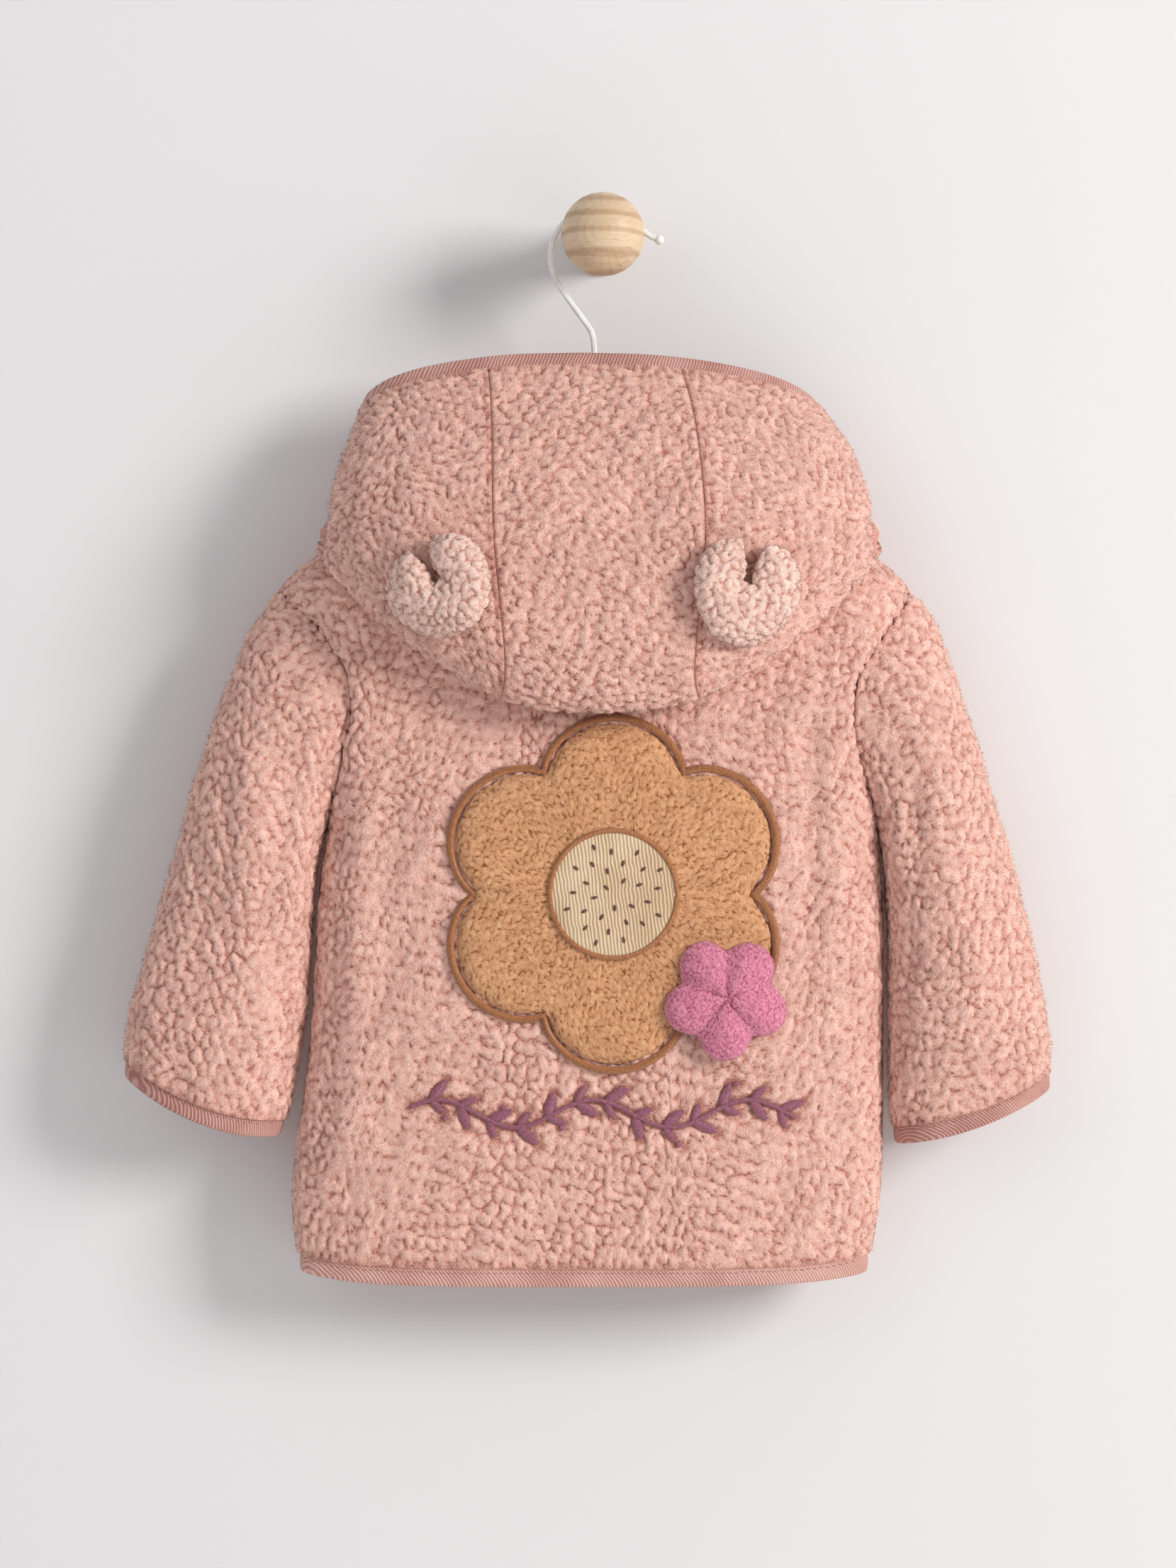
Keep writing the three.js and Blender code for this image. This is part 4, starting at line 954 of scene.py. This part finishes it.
def satin_border():
    """Satin stitches side by side over the flower's cut edge."""
    edge_surface = surface_of(solids["flower_edge"])
    line = resample(round_the_flower(1440, lambda angle: petal_edge(angle) + 2.5), 0.88)
    rng = np.random.default_rng(5)
    made = []
    for i in range(len(line) - 1):
        ahead = line[(i + 1) % (len(line) - 1)] - line[i - 1 if i else len(line) - 2]
        ahead /= np.hypot(*ahead)
        across = np.array([ahead[1], -ahead[0]])
        spots, ups = [], []
        for share in (-1, -0.7, 0.0, 0.7, 1):
            x, z = line[i] + across * share * (1.95 + rng.uniform(-0.12, 0.12))
            drop = 0.9 * abs(share) ** 4
            spot, up = on_surface(edge_surface, x * MM, z * MM, (0.12 - drop) * MM)
            if spot is None:
                spot, up = on_surface(back_surface, x * MM, z * MM, 1.2 * MM)
            if spot:
                spots.append(spot)
                ups.append(OUT)
        if len(spots) == 5:
            made.append((spots, ups, 1.0 * MM, 0.6 * MM))
    sew("flower_satin", made, satin, 1200)


satin_border()
tape_piece("flower_edge", "flower_border", satin, "satin_thread")
heart = tape_piece(
    "flower_heart", "heart_fill", cream, "cream_thread", (0.062, 0.062), "laid", rests_on=["flower"], area=0.003
)


SEED_TURN = 2.39996  # radians from one seed of a sunflower to the next


def seed_stitches():
    """Small seeds on the flower's heart, in a spiral as on a sunflower."""
    heart_surface = surface_of(heart)
    made = []
    for i in range(1, 30):
        angle = i * SEED_TURN
        r = 4.6 * math.sqrt(i)
        if r > 26:
            continue
        x, z = FLOWER_X + r * math.cos(angle), FLOWER_Z + r * math.sin(angle)
        spots, ups = [], []
        for share in (-1, -0.6, -0.2, 0.2, 0.6, 1):
            along_x, along_z = 1.5 * share * math.cos(angle), 1.5 * share * math.sin(angle)
            spot, up = on_surface(heart_surface, (x + along_x) * MM, (z + along_z) * MM, 0.25 * MM)
            if spot:
                spots.append(spot)
                ups.append(OUT)
        if len(spots) == 6:
            made.append((spots, ups, 1.5 * MM, 0.9 * MM))
    rim = round_the_flower(180, lambda angle: HEART_RADIUS)
    spots, ups = laid_line(heart_surface, resample(rim, 0.8), 0.3)
    sew("heart_rim", [(spots, ups, 2.4 * MM, 1.3 * MM)], satin, 1300)
    sew("heart_seeds", made, cocoa, 900)


seed_stitches()


# The zip in mm: a tooth's size, the teeth's pitch, the row's ends, the slider's ends, and how far
# from the middle a tooth stands below the slider, where they mesh, and above it.
TOOTH_SIZE, TOOTH_PITCH = (2.6, 1.5, 0.72), 0.78
ZIP_LOW, ZIP_HIGH = -497.5, -162
SLIDER_LOW, SLIDER_MIDDLE, SLIDER_HIGH = -198.5, -190, -182.2
MESHED, PARTED = 0.55, 1.35


def zip_teeth():
    """Teeth of both tapes, meshed below the slider and parted above it."""
    tapes = {side: surface_of(solids["zip_tape_" + side]) for side in ("left", "right")}
    bpy.ops.mesh.primitive_cube_add(size=1)
    model = bpy.context.object
    model.scale = [side * MM for side in TOOTH_SIZE]
    bpy.ops.object.transform_apply(scale=True)
    rounder = model.modifiers.new("round", "BEVEL")
    rounder.width = 0.0002
    rounder.segments = 1
    bpy.ops.object.modifier_apply(modifier="round")
    tooth = points_of(model)
    faces = [list(face.vertices) for face in model.data.polygons]
    bpy.data.objects.remove(model)
    points, rows = [], []
    for i in range(int((ZIP_HIGH - ZIP_LOW) / TOOTH_PITCH)):
        z = ZIP_LOW + TOOTH_PITCH * i
        if SLIDER_LOW < z < SLIDER_HIGH:
            continue
        side = -1 if i % 2 else 1
        x = (MESHED if z < SLIDER_MIDDLE else PARTED) * side * MM
        spot, _ = on_surface(tapes["left" if side < 0 else "right"], side * 2.4 * MM, z * MM, 0.0, -1)
        if spot is None:
            continue
        rows += [[len(points) * len(tooth) + v for v in face] for face in faces]
        points.append(tooth + np.array([x, spot.y - 0.0001, z * MM]))
    piece = mesh_piece("zip_teeth", np.concatenate(points), rows)
    piece.data.materials.append(metal)
    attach(piece, "root")


zip_teeth()
for side in ("left", "right"):
    tape_piece("zip_tape_" + side, "zip_weave_" + side, zip_tape, "zip_tape", (0.013, 0.34), "stretched", level=1)

for name, finish in (("zip_slider", metal), ("zip_pull", metal), ("hanger", coated_wire), ("peg", wood)):
    for holder in solids[name].material_slots:
        holder.material = finish


# ---------------------------------------------------------------- room, light and camera


def wall_material():
    """Pale plaster, clear from behind so that the jacket's front can be looked at."""
    made, shader, surface, place = material("pale wall", 0.9, Specular_IOR_Level=0.1)
    # The wall is a shade darker towards the left: painted shade.
    left = shader.spread(shader.node("ShaderNodeSeparateXYZ", {0: place}).outputs[0], -0.45, 0.25)
    mottle = shader.noise(place, 3.0, Detail=3.0)
    pale = shader.mix(left, rgb(227, 225, 226), rgb(228, 227, 227))
    shader.tree.links.new(
        shader.mix(shader.spread(mottle, 0.3, 0.7, 0.0, 0.3), pale, rgb(226, 224, 225)), surface.inputs["Base Color"]
    )
    back = shader.node("ShaderNodeNewGeometry").outputs["Backfacing"]
    clear = shader.node("ShaderNodeBsdfTransparent").outputs[0]
    chosen = shader.node("ShaderNodeMixShader", {0: back, 1: surface.outputs[0], 2: clear})
    shader.tree.links.new(chosen.outputs[0], made.node_tree.nodes["Material Output"].inputs["Surface"])
    return made


def floor_material():
    """Pale floor with a faint change of tone."""
    made, shader, surface, place = material("pale floor", 0.8, Specular_IOR_Level=0.2)
    mottle = shader.noise(place, 6.0, Detail=4.0)
    shader.tree.links.new(shader.mix(mottle, rgb(232, 230, 228), rgb(240, 239, 237)), surface.inputs["Base Color"])
    return made


bpy.ops.object.select_all(action="DESELECT")
ROOM = 6  # metres across the wall and the floor
bpy.ops.mesh.primitive_plane_add(size=ROOM, location=(0, 0.0012, 0.9), rotation=(math.pi / 2, 0, 0))
wall = bpy.context.object
wall.name = "wall"
bpy.ops.object.transform_apply(location=True, rotation=True)
wall.data.materials.append(wall_material())
wall.visible_shadow = False
bpy.ops.mesh.primitive_plane_add(size=ROOM, location=(0, 0, -1.35))
floor = bpy.context.object
floor.name = "floor"
bpy.ops.object.transform_apply(location=True)
floor.data.materials.append(floor_material())


def soft_light(name, place, aim, size, power, colour):
    """A square lamp, its size in metres and its power in watts."""
    lamp = bpy.data.lights.new(name, "AREA")
    lamp.shape = "SQUARE"
    lamp.size = size
    lamp.energy = power
    lamp.color = colour
    holder = bpy.data.objects.new(name, lamp)
    holder.location = place
    holder.rotation_euler = (Vector(aim) - Vector(place)).to_track_quat("-Z", "Y").to_euler()
    bpy.context.scene.collection.objects.link(holder)


soft_light("window", (2.9, -2.3, 0.8), (0.0, 0.0, -0.3), 1.3, 110, (1.0, 0.988, 0.97))
soft_light("room", (-1.3, -2.0, 0.3), (0.0, 0.0, -0.3), 1.6, 6, (0.95, 0.97, 1.0))
soft_light("behind", (0.3, 1.9, 0.6), (0.0, -0.05, -0.3), 1.6, 9, (1.0, 1.0, 1.0))
world = bpy.data.worlds.new("room light")
world.use_nodes = True
world.node_tree.nodes["Background"].inputs[0].default_value = (0.93, 0.94, 0.96, 1)
world.node_tree.nodes["Background"].inputs[1].default_value = 0.47
bpy.context.scene.world = world

lens = bpy.data.cameras.new("camera")
lens.lens = 120
camera = bpy.data.objects.new("camera", lens)
camera.location = (-0.007, -2.536, -0.261)
camera.rotation_euler = (math.pi / 2, 0, 0)
bpy.context.scene.collection.objects.link(camera)
bpy.context.scene.camera = camera
bpy.context.scene.view_settings.view_transform = "Standard"

bpy.context.view_layer.update()
